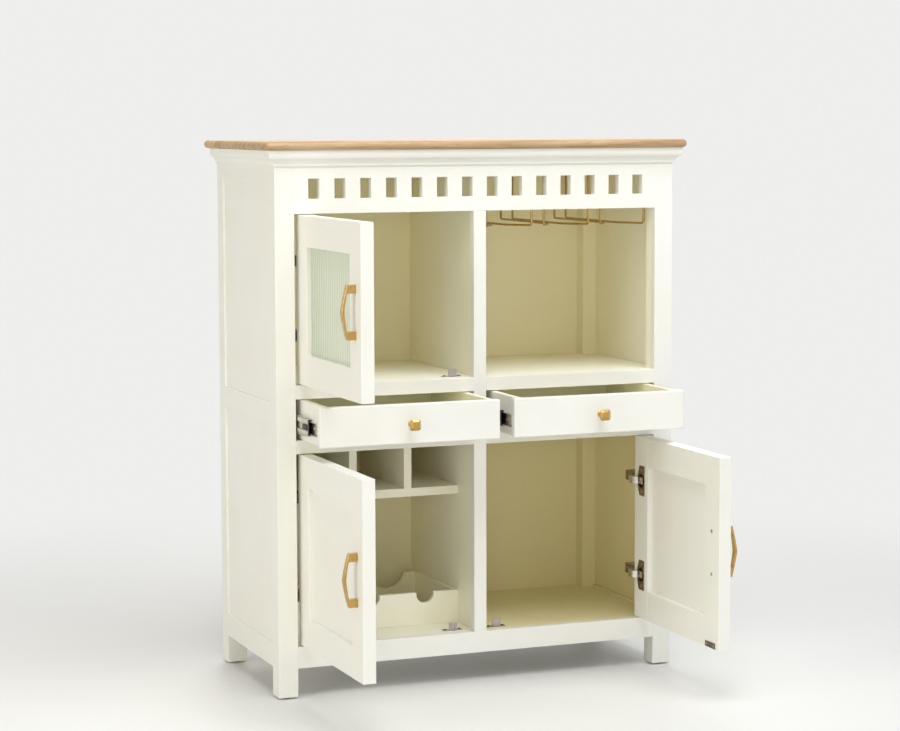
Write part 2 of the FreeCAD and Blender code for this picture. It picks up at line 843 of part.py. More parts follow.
def rack_wire(side):
    """One wire of a rack: down from the ceiling, forward, outward and up again."""
    gap = s.rack_gap.number / 2 * side
    flare = (p.rack_pitch - s.rack_gap).number / 2 * side
    rear = (p.back_face - p.front - s.rack_rear_gap).number
    turn = s.rack_flare_place.number
    front = s.rack_front_place.number
    down = -s.rack_drop.number
    points = [
        Vector(gap, rear, 0), Vector(gap, rear, down), Vector(gap, turn, down),
        Vector(flare, front, down), Vector(flare, front, 0)]
    bend = s.rack_bend_radius.number
    return bent_wire(points, [bend, s.rack_flare_radius.number, bend],
                     s.rack_wire_diameter.number)


def stemware_racks():
    made = []
    for name, step in (("left", -1), ("middle", 0), ("right", 1)):
        wires = []
        for number, side in enumerate((-1, 1)):
            wire = doc.addObject("Part::Feature", f"rack_{name}_wire_{number}")
            wire.Shape = rack_wire(side)
            wires.append(wire)
        rack = together(f"stemware_rack_{name}", wires)
        x = p.rack_centre + p.rack_pitch * step
        made.append(move(rack, x, p.front, p.ceiling_bottom))
    return made


# Doors. Each is drawn closed, from the inner face of its post and the front of the posts,
# and then swung open by a quarter turn about its pivot.

def swing_open(name, parts, right=False):
    """Parts of a door, swung open; right puts them on the right-hand post."""
    whole = together(f"{name}_left_hand" if right else name, parts)
    x = s.pivot_from_post - s.pivot_from_front - p.post_inner
    y = s.pivot_from_front + s.pivot_from_post + p.front
    move(whole, x, y, 0, (Z_AXIS, -RIGHT_ANGLE))
    return mirrored(name, whole) if right else whole


def hinge_heights(bottom, height):
    return [bottom + s.hinge_from_door_end, bottom + height - s.hinge_from_door_end]


def door_frame(name, bottom, height):
    """Two stiles and two rails; the hinge stile is bored for the cups."""
    member = s.door_member_width
    thick = s.door_thickness
    hinge_stile = board(f"{name}_hinge_stile", member, thick, height,
                        s.door_gap, 0, bottom, s.door_ease)
    for z in hinge_heights(as_size(0), height):
        bore = cylinder_in(hinge_stile, "Subtractive", s.cup_radius, s.cup_depth)
        move(bore, s.cup_from_edge, thick - s.cup_depth, z, (X_AXIS, -RIGHT_ANGLE))
    free_stile = board(f"{name}_free_stile", member, thick, height,
                       s.door_gap + p.door_width - member, 0, bottom, s.door_ease)
    rails = []
    for place_name, z in (("bottom", bottom), ("top", bottom + height - member)):
        rails.append(board(f"{name}_{place_name}_rail", p.door_width - member * 2, thick,
                           member, s.door_gap + member, 0, z, s.door_ease))
    return [hinge_stile, free_stile] + rails


def door_infill(name, bottom, height, thickness, recess):
    """The panel or glass inside a door frame."""
    member = s.door_member_width
    return board(name, p.door_width - member * 2, thickness, height - member * 2,
                 s.door_gap + member, recess, bottom + member)


def glazing_beads(bottom, height):
    """Four strips that hold the glass from the inner side."""
    member = s.door_member_width
    y = s.door_panel_recess + s.glass_thickness
    width = p.door_width - member * 2
    inner_height = height - member * 2
    x = s.door_gap + member
    z = bottom + member
    bead = s.bead_width
    return [
        block("bottom_bead", width, s.bead_thickness, bead, x, y, z),
        block("top_bead", width, s.bead_thickness, bead, x, y, z + inner_height - bead),
        block("hinge_bead", bead, s.bead_thickness, inner_height - bead * 2, x, y, z + bead),
        block("free_bead", bead, s.bead_thickness, inner_height - bead * 2,
              x + width - bead, y, z + bead)]


def handle(name, bottom, height):
    """Two foot blocks joined by a strap that is bent outward in the middle."""
    half = s.handle_height / 2
    inner = s.handle_screw_spacing - half
    body = profile(name, "YZ_Plane", [
        (0, -half), (-s.handle_shoulder, -half), (-s.handle_projection, 0),
        (-s.handle_shoulder, half), (0, half), (0, inner), (-s.handle_inner_shoulder, inner),
        (-s.handle_inner_projection, 0), (-s.handle_inner_shoulder, -inner), (0, -inner)],
        s.handle_width)
    x = s.door_gap + p.door_width - s.handle_from_edge - s.handle_width / 2
    return move(body, x, 0, bottom + height / 2)


def link_turn():
    """How far a link leans towards the front with the door open to a right angle."""
    return s.link_closed_angle + s.link_turn_share * RIGHT_ANGLE


def link_end():
    """The link's free end there, from the edge of the closed door and from its outer face."""
    beside = s.link_pivot_from_post + s.link_length * cosine(link_turn())
    behind = s.link_pivot_from_front - s.link_length * sine(link_turn())
    along = s.pivot_from_post + s.pivot_from_front - behind
    deep = s.pivot_from_front + beside - s.pivot_from_post
    return along, deep


def hinge_cup(name, z):
    """A hollow cup with its flange and inner link, drawn upright and laid into the door."""
    body = doc.addObject("PartDesign::Body", name)
    radius = s.cup_radius - s.cup_fit
    depth = s.cup_depth
    cylinder_in(body, "Additive", radius, depth)
    side = s.cup_flange_width / 2
    end = s.cup_flange_height / 2
    waist = s.cup_flange_waist / 2
    taper = s.cup_flange_taper - side
    flange = outline(body, "XY_Plane", [
        (side, -end), (side, end), (taper, end), (-side, waist), (-side, -waist), (taper, -end)])
    pad(body, flange, s.cup_flange_thickness)
    flange.setExpression("AttachmentOffset.Base.z", depth.formula)
    cylinder_in(body, "Subtractive", radius - s.cup_wall, depth + s.cup_flange_thickness,
                0, 0, s.cup_wall)
    y = s.door_thickness - depth
    along, deep = link_end()
    x = along - s.door_gap - s.cup_from_edge - s.cup_link_width / 2
    top = deep - y - s.link_thickness / 2 - s.link_seat_gap
    box_in(body, "Additive", s.cup_link_width, s.cup_link_height, top - s.cup_wall,
           x, -(s.cup_link_height / 2), s.cup_wall)
    return move(body, s.door_gap + s.cup_from_edge, y, z, (X_AXIS, -RIGHT_ANGLE))


def door_fittings(name, bottom, height):
    """The cups and the strike plate on the inner face."""
    cups = [hinge_cup(f"{name}_cup_{number}", z)
            for number, z in enumerate(hinge_heights(bottom, height))]
    x = p.opening_width - s.catch_from_stile - s.strike_width / 2
    strike = block(f"{name}_strike", s.strike_width, s.strike_thickness, s.strike_height,
                   x, s.door_thickness, bottom + s.door_ease)
    return cups + [strike]


def around(centre_x, centre_y, radius, degrees):
    """The point at a radius and an angle from a centre."""
    return centre_x + radius * cosine(degrees), centre_y + radius * sine(degrees)


def link(name, z):
    """A strip bent in short runs, with an eye and a blunt end, as the door stands open."""
    half_chord = s.link_length / 2
    radius = half_chord / sine(s.link_half_angle)
    centre_y = -(radius * cosine(s.link_half_angle))
    half = s.link_thickness / 2
    upright = as_size(RIGHT_ANGLE)
    runs = int(s.link_runs.number)
    sweep = s.link_half_angle * 2 / runs
    angles = [upright + s.link_half_angle - sweep * run for run in range(runs + 1)]
    outer = [around(half_chord, centre_y, radius + half, angle) for angle in angles]
    inner = [around(half_chord, centre_y, radius - half, angle) for angle in angles]
    sides = int(s.link_end_sides.number)
    nib = [around(s.link_length, as_size(0), half, angles[-1] - upright * 2 * side / sides)
           for side in range(1, sides)]
    body = doc.addObject("PartDesign::Body", name)
    sketch = outline(body, "XY_Plane", outer + nib + inner[::-1])
    pad(body, sketch, s.link_height)
    cylinder_in(body, "Additive", s.link_eye_radius, s.link_height)
    cylinder_in(body, "Subtractive", s.link_pin_radius + s.link_pin_fit, s.link_height)
    return move(body, s.link_pivot_from_post - p.post_inner, s.link_pivot_from_front + p.front,
                z - s.link_height / 2, (Z_AXIS, -link_turn().number))


def hinge_arm(name, z):
    """A forked arm on its mounting plate, with the pin of the link between the cheeks."""
    body = doc.addObject("PartDesign::Body", name)
    plate = s.arm_plate_thickness
    rear = s.arm_plate_front + s.arm_length
    box_in(body, "Additive", plate, s.arm_length, s.arm_plate_height,
           0, s.arm_plate_front, -(s.arm_plate_height / 2))
    inner = s.link_height / 2 + s.link_side_gap
    tip_left = s.link_pivot_from_post - s.arm_tip_width / 2
    tip_right = s.link_pivot_from_post + s.arm_tip_width / 2
    width = (inner + s.arm_cheek_thickness) * 2
    sketch = outline(body, "XY_Plane", [
        (0, rear), (0, s.arm_knee_place), (tip_left, s.arm_front_place + s.arm_tip_width),
        (tip_left, s.arm_front_place), (tip_right, s.arm_front_place),
        (tip_right, s.arm_front_place + s.arm_tip_length), (s.arm_height, s.arm_knee_place),
        (s.arm_height, rear)])
    pad(body, sketch, width)
    sketch.setExpression("AttachmentOffset.Base.z", (-(width / 2)).formula)
    box_in(body, "Subtractive", s.arm_height, s.arm_slot_end, inner * 2,
           s.arm_cheek_thickness, 0, -inner)
    pin_length = width - s.arm_cheek_thickness
    cylinder_in(body, "Additive", s.link_pin_radius, pin_length, s.link_pivot_from_post,
                s.link_pivot_from_front, -(pin_length / 2))
    return move(body, -p.post_inner, p.front, z)


def hinge_block(name, z):
    """Packing behind the post that the rear half of an arm is screwed to."""
    return block(name, p.panel_face - p.post_inner, s.hinge_block_depth, s.hinge_block_height,
                 -p.panel_face, p.front + s.post_size, z - s.hinge_block_height / 2)


def door_catch(name, z):
    """A bent catch plate on the deck, just behind the closed door."""
    body = doc.addObject("PartDesign::Body", name)
    front = p.front + s.door_thickness + s.strike_thickness + s.catch_gap
    middle = (s.catch_width - s.catch_plate_width) / 2
    box_in(body, "Additive", s.catch_width, s.catch_depth, s.catch_base_thickness)
    box_in(body, "Additive", s.catch_plate_width, s.catch_plate_thickness,
           s.catch_plate_height, middle)
    x = -(p.stile_edge + s.catch_from_stile + s.catch_width / 2)
    return move(body, x, front, z)


def doors():
    """The three doors with their fittings, and what the carcass holds for them."""
    made = []
    arms = []
    blocks = []
    low = p.bottom_deck_top + s.door_gap
    high = p.upper_deck_top + s.door_gap
    for name, bottom, height, right in (
            ("upper_left", high, p.upper_door_height, False),
            ("lower_left", low, p.lower_door_height, False),
            ("lower_right", low, p.lower_door_height, True)):
        made.append(swing_open(f"{name}_door_frame", door_frame(name, bottom, height), right))
        if name == "upper_left":
            glass = door_infill("glass_pane", bottom, height, s.glass_thickness,
                                s.door_panel_recess)
            made.append(swing_open(f"{name}_door_glass", [glass]))
            made.append(swing_open("glazing_beads", glazing_beads(bottom, height)))
        else:
            panel = door_infill(f"{name}_panel", bottom, height, s.door_panel_thickness,
                                s.door_panel_recess)
            made.append(swing_open(f"{name}_door_panel", [panel], right))
        grip = handle(f"{name}_grip", bottom, height)
        made.append(swing_open(f"{name}_handle", [grip], right))
        fittings = door_fittings(name, bottom, height)
        made.append(swing_open(f"{name}_door_fittings", fittings, right))
        links = []
        for number, z in enumerate(hinge_heights(bottom, height)):
            one = link(f"{name}_link_{number}", z)
            arm = hinge_arm(f"{name}_arm_{number}", z)
            block = hinge_block(f"{name}_block_{number}", z)
            if right:
                one = mirrored(f"{name}_right_link_{number}", one)
                arm = mirrored(f"{name}_right_arm_{number}", arm)
                block = mirrored(f"{name}_right_block_{number}", block)
            links.append(one)
            arms.append(arm)
            blocks.append(block)
        made.append(together(f"{name}_hinge_links", links))
    catches = [door_catch("upper_catch", p.upper_deck_top),
               door_catch("lower_catch", p.bottom_deck_top)]
    catches.append(mirrored("lower_right_catch", catches[1]))
    made.append(together("hinge_arms", arms))
    made.append(together("hinge_blocks", blocks))
    made.append(together("door_catches", catches))
    return made


# Drawers, drawn part way out

def drawer_boards():
    """Front, sides, back and bottom of the left drawer."""
    width = p.opening_width - s.drawer_gap * 2
    height = p.drawer_height
    x = -(p.post_inner - s.drawer_gap)
    y = p.drawer_face
    z = p.drawer_bottom
    front = board("left_drawer_front", width, s.drawer_front_thickness, height, x, y, z,
                  s.drawer_ease)
    behind = y + s.drawer_front_thickness
    thick = s.drawer_side_thickness
    left = block("drawer_outer_side", thick, p.drawer_side_length, height,
                 -p.drawer_side_face, behind, z)
    right_x = -(p.stile_edge + s.slide_width + thick)
    right = block("drawer_inner_side", thick, p.drawer_side_length, height,
                  right_x, behind, z)
    inner_left = thick - p.drawer_side_face
    inner_width = right_x - inner_left
    back_y = behind + p.drawer_side_length - s.drawer_back_thickness
    rear = block("drawer_back", inner_width, s.drawer_back_thickness, height,
                 inner_left, back_y, z)
    floor = block("left_drawer_bottom", inner_width, back_y - behind, s.drawer_bottom_thickness,
                  inner_left, behind, z + s.drawer_bottom_raise)
    return [front, together("left_drawer_box", [left, right, rear]), floor]


def drawer_knob():
    """A square knob with cut corners and a broad bevel, on a round stem."""
    body = doc.addObject("PartDesign::Body", "left_knob")
    size = s.knob_size
    reach = s.knob_reach
    cap_start = reach - s.knob_thickness
    box_in(body, "Additive", size, size, s.knob_thickness, -(size / 2), -(size / 2), cap_start)
    cut_edges(body, s.knob_corner_cut, runs_along(Z_AXIS))
    cut_edges(body, s.knob_bevel, lies_at(Z_AXIS, reach))
    cylinder_in(body, "Additive", s.knob_stem_radius, cap_start)
    x = -(p.stile_edge + p.opening_width / 2)
    z = p.drawer_bottom + p.drawer_height / 2
    return move(body, x, p.drawer_face, z, (X_AXIS, RIGHT_ANGLE))


def mirror_points(points):
    """An outline's lower half followed by the same half turned over."""
    return points + [(u, -v) for u, v in reversed(points)]


def cabinet_member_points():
    """A channel with turned-in lips, open towards the drawer."""
    half = s.slide_outer_height / 2
    deep = s.slide_outer_depth
    steel = s.slide_steel
    return mirror_points([
        (steel, steel - half), (deep - steel, steel - half), (deep - steel, s.slide_lip - half),
        (deep, s.slide_lip - half), (deep, -half), (0, -half)])


def middle_member_points():
    """A channel inside the first one, also with lips."""
    half = s.slide_middle_height / 2
    start = s.slide_middle_inset
    end = start + s.slide_middle_depth
    steel = s.slide_steel
    lip = s.slide_lip - s.slide_race_gap
    return mirror_points([
        (start + steel, steel - half), (end - steel, steel - half), (end - steel, lip - half),
        (end, lip - half), (end, -half), (start, -half)])


def drawer_member_points():
    """The narrow channel on the drawer side, open towards the middle one."""
    half = s.slide_inner_height / 2
    end = s.slide_width
    start = end - s.slide_inner_depth
    steel = s.slide_steel
    return mirror_points([
        (end - steel, steel - half), (start, steel - half), (start, -half), (end, -half)])


def slide_member(name, points, y):
    body = profile(name, "XZ_Plane", points, p.slide_length)
    return move(body, -p.post_inner, y, p.slide_centre)


def on_both_sides_of_drawer(name, thing):
    """The slide on the other side of the same drawer, turned over."""
    other = doc.addObject("Part::Mirroring", f"{name}_inner")
    other.Source = thing
    other.Normal = X_AXIS
    other.setExpression("Base.x", (-(p.stile_edge + p.opening_width / 2)).formula)
    return [thing, other]


def ball_races(name, y):
    """The ball cages that fill the gaps between the three members."""
    made = []
    outer_half = s.slide_outer_height / 2 - s.slide_steel
    middle_half = s.slide_middle_height / 2
    inner_half = s.slide_inner_height / 2
    outer_start = s.slide_middle_inset + s.slide_race_gap
    outer_width = s.slide_outer_depth - s.slide_steel - s.slide_race_gap - outer_start
    inner_start = s.slide_width - s.slide_inner_depth
    inner_end = s.slide_middle_inset + s.slide_middle_depth - s.slide_steel
    inner_width = inner_end - s.slide_race_gap - inner_start
    for race, start, width, low, high in (
            ("outer", outer_start, outer_width, middle_half, outer_half - s.slide_gap),
            ("inner", inner_start, inner_width, inner_half + s.slide_gap,
             middle_half - s.slide_steel)):
        for end_name, z in (("upper", p.slide_centre + low), ("lower", p.slide_centre - high)):
            cage = doc.addObject("Part::Box", f"{name}_{race}_{end_name}_cage")
            bind(cage, Length=width, Width=p.slide_length - s.slide_stop_length, Height=high - low)
            made.append(move(cage, start - p.post_inner, y + s.slide_stop_length, z))
    return made


def slide_stop(name, y):
    """The black end piece at the front of the middle member."""
    half = s.slide_middle_height / 2 - s.slide_steel
    web = s.slide_middle_inset + s.slide_steel
    start = s.slide_width - s.slide_inner_depth
    inner_half = s.slide_inner_height / 2 + s.slide_race_gap
    end = s.slide_middle_inset + s.slide_middle_depth - s.slide_steel
    points = mirror_points([
        (start - s.slide_race_gap, -inner_half), (end, -inner_half), (end, -half), (web, -half)])
    body = profile(name, "XZ_Plane", points, s.slide_stop_length)
    return move(body, -p.post_inner, y, p.slide_centre)


def drawers():
    """Both drawers with their slides; the right ones mirror the left ones."""
    cabinet = slide_member("cabinet_member", cabinet_member_points(), p.slide_start)
    middle_y = p.slide_start - s.slide_out
    middle = slide_member("middle_member", middle_member_points(), middle_y)
    inner = slide_member("drawer_member", drawer_member_points(), p.slide_start - s.drawer_out)
    cabinet_pair = on_both_sides_of_drawer("cabinet_member", cabinet)
    middle_parts = []
    for thing in [middle] + ball_races("middle", middle_y):
        middle_parts += on_both_sides_of_drawer(thing.Name, thing)
    left = drawer_boards() + [
        drawer_knob(),
        together("left_slide_inner_members", on_both_sides_of_drawer("drawer_member", inner)),
        together("left_slide_middle_members", middle_parts),
        together("left_slide_stops", on_both_sides_of_drawer(
            "slide_stop", slide_stop("slide_stop", middle_y)))]
    right = [mirrored(thing.Name.replace("left", "right"), thing) for thing in left]
    outer = both_sides("slide_cabinet_members", together("left_cabinet_members", cabinet_pair))
    return left + right + [outer]


def write_steps(parts):
    """Checks the document, and then writes one file for each sub-part."""
    doc.recompute()
    for thing in doc.Objects:
        if "Invalid" in thing.State or "Error" in thing.State:
            raise RuntimeError(f"{thing.Name} is not up to date: {thing.State}")
    for part in parts:
        if part.Shape.isNull() or not part.Shape.isValid():
            raise RuntimeError(f"{part.Label} has no valid shape")
    os.makedirs("parts", exist_ok=True)
    for part in parts:
        part.Label = part.Name
        part.Shape.exportStep(f"parts/{part.Label}.step")
        print(part.Label, len(part.Shape.Solids), round(part.Shape.Volume))


fill_sheet()
set_out()
parts = [posts(), glides(), top_board(), cornice(), frieze_rail()]
parts += front_frame() + side_frames() + back() + decks() + [partitions(), slide_battens()]
parts += cubbies() + bottle_tray() + stemware_racks() + doors() + drawers()
write_steps(parts)
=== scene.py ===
import json
import math

import bmesh
import bpy
from mathutils import Matrix, Vector


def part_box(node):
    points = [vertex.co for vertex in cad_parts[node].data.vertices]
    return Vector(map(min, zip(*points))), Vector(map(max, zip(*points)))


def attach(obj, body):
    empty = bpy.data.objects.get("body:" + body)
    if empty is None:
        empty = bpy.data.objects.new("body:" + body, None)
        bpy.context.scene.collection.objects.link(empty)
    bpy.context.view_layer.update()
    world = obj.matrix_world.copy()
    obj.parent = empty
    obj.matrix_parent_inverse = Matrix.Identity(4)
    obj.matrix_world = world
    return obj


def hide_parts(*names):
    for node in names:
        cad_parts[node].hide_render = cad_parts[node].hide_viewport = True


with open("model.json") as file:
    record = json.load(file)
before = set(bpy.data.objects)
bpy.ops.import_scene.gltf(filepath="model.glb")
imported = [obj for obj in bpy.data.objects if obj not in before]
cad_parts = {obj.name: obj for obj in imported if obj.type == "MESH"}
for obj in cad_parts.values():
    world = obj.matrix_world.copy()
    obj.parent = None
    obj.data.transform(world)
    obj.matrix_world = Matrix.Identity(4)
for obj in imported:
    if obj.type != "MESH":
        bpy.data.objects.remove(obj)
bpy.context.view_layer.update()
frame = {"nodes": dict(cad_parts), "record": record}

MM = 0.001
RIGHT_ANGLE = 90

# Sizes that the frame was built with, in millimetres
HALF_WIDTH = 482.5
HALF_DEPTH = 218.5
FRONT = -HALF_DEPTH
BODY_TOP = 1214
POST_INNER = 437.5
STILE_HALF = 15
DOOR_X = -427.5
DOOR_Y = -197.5
DOOR_WIDTH = 418.5
DOOR_GAP = 2
DOOR_THICK = 29
# The post that a door hangs on (-1 left, 1 right), its bottom and its top
DOORS = {"upper_left": (-1, 702, 1073.5), "lower_left": (-1, 118, 546),
         "lower_right": (1, 118, 546)}


# Camera, in metres and degrees

CAMERA_PLACE = (-2.0857, -5.2653, 1.2881)
CAMERA_YAW = 21.7398
CAMERA_PITCH = -5.8691
CAMERA_ROLL = -0.1507
CAMERA_LENS = 97.253
SENSOR_WIDTH = 36
CLIP_END = 50


def add_camera():
    data = bpy.data.cameras.new("camera")
    data.lens = CAMERA_LENS
    data.sensor_width = SENSOR_WIDTH
    data.sensor_fit = "HORIZONTAL"
    data.clip_end = CLIP_END
    camera = bpy.data.objects.new("camera", data)
    bpy.context.scene.collection.objects.link(camera)
    turn = (Matrix.Rotation(math.radians(-CAMERA_YAW), 4, "Z")
            @ Matrix.Rotation(math.radians(RIGHT_ANGLE + CAMERA_PITCH), 4, "X")
            @ Matrix.Rotation(math.radians(CAMERA_ROLL), 4, "Z"))
    camera.matrix_world = Matrix.Translation(CAMERA_PLACE) @ turn
    bpy.context.scene.camera = camera


# Materials

def rgba(colour):
    """A colour with its alpha; a socket stays as it is."""
    if isinstance(colour, bpy.types.NodeSocket) or len(colour) == 4:
        return colour
    return (*colour, 1)


class Tree:
    """The nodes of a material or a world, with short calls to add them."""

    def __init__(self, owner):
        self.owner = owner
        owner.use_nodes = True
        self.tree = owner.node_tree
        self.shader = self.tree.nodes.get("Principled BSDF")

    def add(self, kind, settings=None, **inputs):
        """A node; an input is named with _ for a space, or by its number after an i."""
        made = self.tree.nodes.new("ShaderNode" + kind)
        for key, value in (settings or {}).items():
            setattr(made, key, value)
        for key, value in inputs.items():
            spot = int(key[1:]) if key[1:].isdigit() else key.replace("_", " ")
            self.put(made.inputs[spot], value)
        return made

    def put(self, socket, value):
        if isinstance(value, bpy.types.NodeSocket):
            self.tree.links.new(value, socket)
        else:
            socket.default_value = value

    def set(self, **inputs):
        for key, value in inputs.items():
            self.put(self.shader.inputs[key.replace("_", " ")], value)

    def place(self, scale=(1, 1, 1)):
        """Coordinates of the piece, which stay with it as it moves."""
        where = self.add("TexCoord").outputs["Object"]
        return self.add("Mapping", Vector=where, Scale=scale).outputs[0]

    def axes(self):
        """The x, y and z of the piece's coordinates."""
        return self.add("SeparateXYZ", Vector=self.place()).outputs

    def noise(self, scale, size=(1, 1, 1), detail=2, rough=0.5):
        made = self.add("TexNoise", Vector=self.place(size), Scale=scale, Detail=detail,
                        Roughness=rough, Distortion=0)
        return made.outputs["Fac"]

    def ramp(self, value, stops):
        made = self.add("ValToRGB", Fac=value)
        line = made.color_ramp
        while len(line.elements) < len(stops):
            line.elements.new(0.5)
        for element, (spot, colour) in zip(line.elements, stops):
            element.position = spot
            element.color = rgba(colour)
        return made.outputs[0]

    def grey(self, value, stops):
        return self.ramp(value, [(spot, (level, level, level)) for spot, level in stops])

    def math(self, operation, first, second=0.0, third=0.0):
        made = self.add("Math", {"operation": operation}, i0=first, i1=second, i2=third)
        return made.outputs[0]

    def above(self, value, limit):
        return self.math("GREATER_THAN", value, limit)

    def below(self, value, limit):
        return self.math("LESS_THAN", value, limit)

    def times(self, first, second):
        return self.math("MULTIPLY", first, second)

    def mix(self, factor, first, second, blend="MIX"):
        made = self.add("Mix", {"data_type": "RGBA", "blend_type": blend}, i0=factor,
                        i6=rgba(first), i7=rgba(second))
        return made.outputs[2]

    def bump(self, height, strength, distance, normal=None):
        made = self.add("Bump", Strength=strength, Distance=distance, Height=height)
        if normal is not None:
            self.put(made.inputs["Normal"], normal)
        return made.outputs[0]


def new_material(name):
    return Tree(bpy.data.materials.new(name))


CREAM = (0.89, 0.883, 0.85)
CREAM_WARM = (0.87, 0.857, 0.80)
# Painted shade: warmer tones for the shaded inside of the carcass, its back and its lower right
CREAM_INSIDE_SHADE = (0.98, 0.95, 0.80)
CREAM_BACK_SHADE = (0.975, 0.905, 0.63)
CREAM_SHADE = (0.88, 0.80, 0.50)
# Painted shade inside a drawer
CREAM_DRAWER_SHADE = (0.93, 0.90, 0.67)
# Where the carcass has its painted shade inside, in metres
INSIDE_HALF_WIDTH = 0.4735
INSIDE_FRONT = -0.1988
INSIDE_REAR = 0.21
INSIDE_BOTTOM = 0.0985
BACK_FADE_START = -0.05
BACK_FADE_END = 0.2
SHADE_LEFT = 0.01
SHADE_TOP = 0.57
# Between the outer faces of a drawer's sides, from the middle of the cabinet
DRAWER_NEAR = 0.0295
DRAWER_FAR = 0.423


def painted_inside_shade(t, base):
    """Painted shade inside the carcass: warmer, yellower towards the back, darker at the lower
    right.
    """
    x, y, z = t.axes()
    across = t.below(t.math("ABSOLUTE", x), INSIDE_HALF_WIDTH)
    mask = t.times(t.times(across, t.above(y, INSIDE_FRONT)),
                   t.times(t.below(y, INSIDE_REAR), t.above(z, INSIDE_BOTTOM)))
    # painted shade, yellower towards the back
    depth = t.add("MapRange", Value=y, From_Min=BACK_FADE_START,
                  From_Max=BACK_FADE_END).outputs[0]
    within = t.mix(depth, CREAM_INSIDE_SHADE, CREAM_BACK_SHADE)
    # painted shade, darker in the lower right compartment
    shade = t.times(t.above(x, SHADE_LEFT), t.below(z, SHADE_TOP))
    return t.mix(mask, base, t.mix(shade, within, CREAM_SHADE))


def painted_drawer_shade(t, base):
    """Painted shade inside a drawer: a warmer tone for its shaded inside."""
    across = t.math("ABSOLUTE", t.axes()[0])
    within = t.times(t.above(across, DRAWER_NEAR), t.below(across, DRAWER_FAR))
    return t.mix(within, base, CREAM_DRAWER_SHADE)


def paint_material(name, tone=None):
    """Satin paint over wood: brush marks, faint grain and slightly uneven tone."""
    t = new_material(name)
    cloud = t.noise(5, (1, 1, 1), 3)
    brush = t.noise(60, (1, 1, 0.05), 2)
    base = t.mix(t.grey(cloud, [(0.35, 0), (0.7, 1)]), CREAM, CREAM_WARM)
    base = t.mix(t.grey(brush, [(0.35, 0), (0.75, 0.25)]), base, CREAM_WARM)
    # a tone adds painted shade inside the carcass or a drawer
    if tone:
        base = tone(t, base)
    grain = t.noise(40, (6, 6, 0.4), 4, 0.6)
    peel = t.noise(700, (1, 1, 1), 1)
    normal = t.bump(grain, 0.12, 0.0006)
    normal = t.bump(peel, 0.06, 0.0002, normal)
    rough = t.grey(t.noise(18, (1, 1, 1), 3), [(0.3, 0.36), (0.75, 0.5)])
    t.set(Base_Color=base, Roughness=rough, Normal=normal, IOR=1.48)
    return t.owner


STAVE = 0.074
STAVE_SHIFT = 7.0
SEAM_START = 0.4935
OAK_BANDS = [(0.30, (0.37, 0.21, 0.095)), (0.45, (0.50, 0.32, 0.165)),
             (0.58, (0.59, 0.41, 0.235)), (0.75, (0.64, 0.47, 0.29))]
OAK_PORE = (0.27, 0.13, 0.05)
OAK_SEAM = (0.25, 0.12, 0.05)


def oak_material():
    """Honey oak in glued staves along x, with long grain, pores and a satin varnish."""
    t = new_material("honey_oak")
    x, y, z = t.axes()
    stave = t.math("DIVIDE", y, STAVE)
    chance = t.add("TexWhiteNoise", {"noise_dimensions": "1D"},
                   W=t.math("FLOOR", stave)).outputs[0]
    along = t.math("MULTIPLY_ADD", chance, STAVE_SHIFT, x)
    where = t.add("CombineXYZ", X=along, Y=y, Z=z).outputs[0]

    def grain(scale, size, detail, rough, distort):
        mapped = t.add("Mapping", Vector=where, Scale=size).outputs[0]
        return t.add("TexNoise", Vector=mapped, Scale=scale, Detail=detail,
                     Roughness=rough, Distortion=distort).outputs["Fac"]

    bands = grain(5, (0.9, 14, 14), 5, 0.6, 0.7)
    tone = t.grey(chance, [(0, 0.84), (1, 1.08)])
    base = t.mix(1.0, t.ramp(bands, OAK_BANDS), tone, "MULTIPLY")
    pores = grain(9, (3.5, 160, 160), 2, 0.5, 0)
    pore_mask = t.grey(pores, [(0.30, 1), (0.42, 0)])
    base = t.mix(t.times(pore_mask, 0.55), base, OAK_PORE)
    from_middle = t.math("ABSOLUTE", t.math("SUBTRACT", t.math("FRACT", stave), 0.5))
    base = t.mix(t.times(t.above(from_middle, SEAM_START), 0.45), base, OAK_SEAM)
    normal = t.bump(pores, 0.25, 0.0003)
    normal = t.bump(bands, 0.10, 0.0006, normal)
    rough = t.grey(bands, [(0.3, 0.6), (0.7, 0.5)])
    t.set(Base_Color=base, Roughness=rough, Normal=normal, Coat_Weight=0.06,
          Coat_Roughness=0.4)
    return t.owner


def metal_material(name, colour, worn, rough, scratch=(1, 1, 0.04)):
    """Brushed or plated metal with slight uneven colour and fine marks."""
    t = new_material(name)
    cloud = t.noise(45, (1, 1, 1), 3)
    base = t.mix(t.grey(cloud, [(0.35, 0), (0.72, 1)]), colour, worn)
    fine = t.noise(500, scratch, 2)
    level = t.grey(fine, [(0.25, rough * 0.8), (0.8, rough * 1.25)])
    t.set(Base_Color=base, Metallic=1.0, Roughness=level, Normal=t.bump(fine, 0.12, 0.0001))
    return t.owner


# Ribs of the pane, in metres
RIB = 0.012
GLASS_END = -0.2655


def glass_material():
    """Pale reeded glass, slightly milky, with painted highlights on the ribs and painted shade
    between them.
    """
    t = new_material("reeded_glass")
    turn = t.math("DIVIDE", t.math("SUBTRACT", t.axes()[1], GLASS_END), RIB)
    rib = t.math("ABSOLUTE", t.math("SINE", t.times(turn, math.pi)))
    cloud = t.noise(9, (1, 1, 0.4), 2)
    # painted highlight on the crown of each rib, painted shade in the grooves between
    light = t.mix(cloud, (0.80, 0.86, 0.72), (0.85, 0.89, 0.77))
    dark = t.mix(cloud, (0.54, 0.62, 0.49), (0.72, 0.79, 0.66))
    base = t.mix(t.grey(rib, [(0.15, 0), (0.6, 1)]), dark, light)
    t.set(Base_Color=base, Roughness=0.12, IOR=1.4, Transmission_Weight=0.25,
          Normal=t.bump(t.noise(160, (1, 1, 0.1), 1), 0.05, 0.0002))
    return t.owner


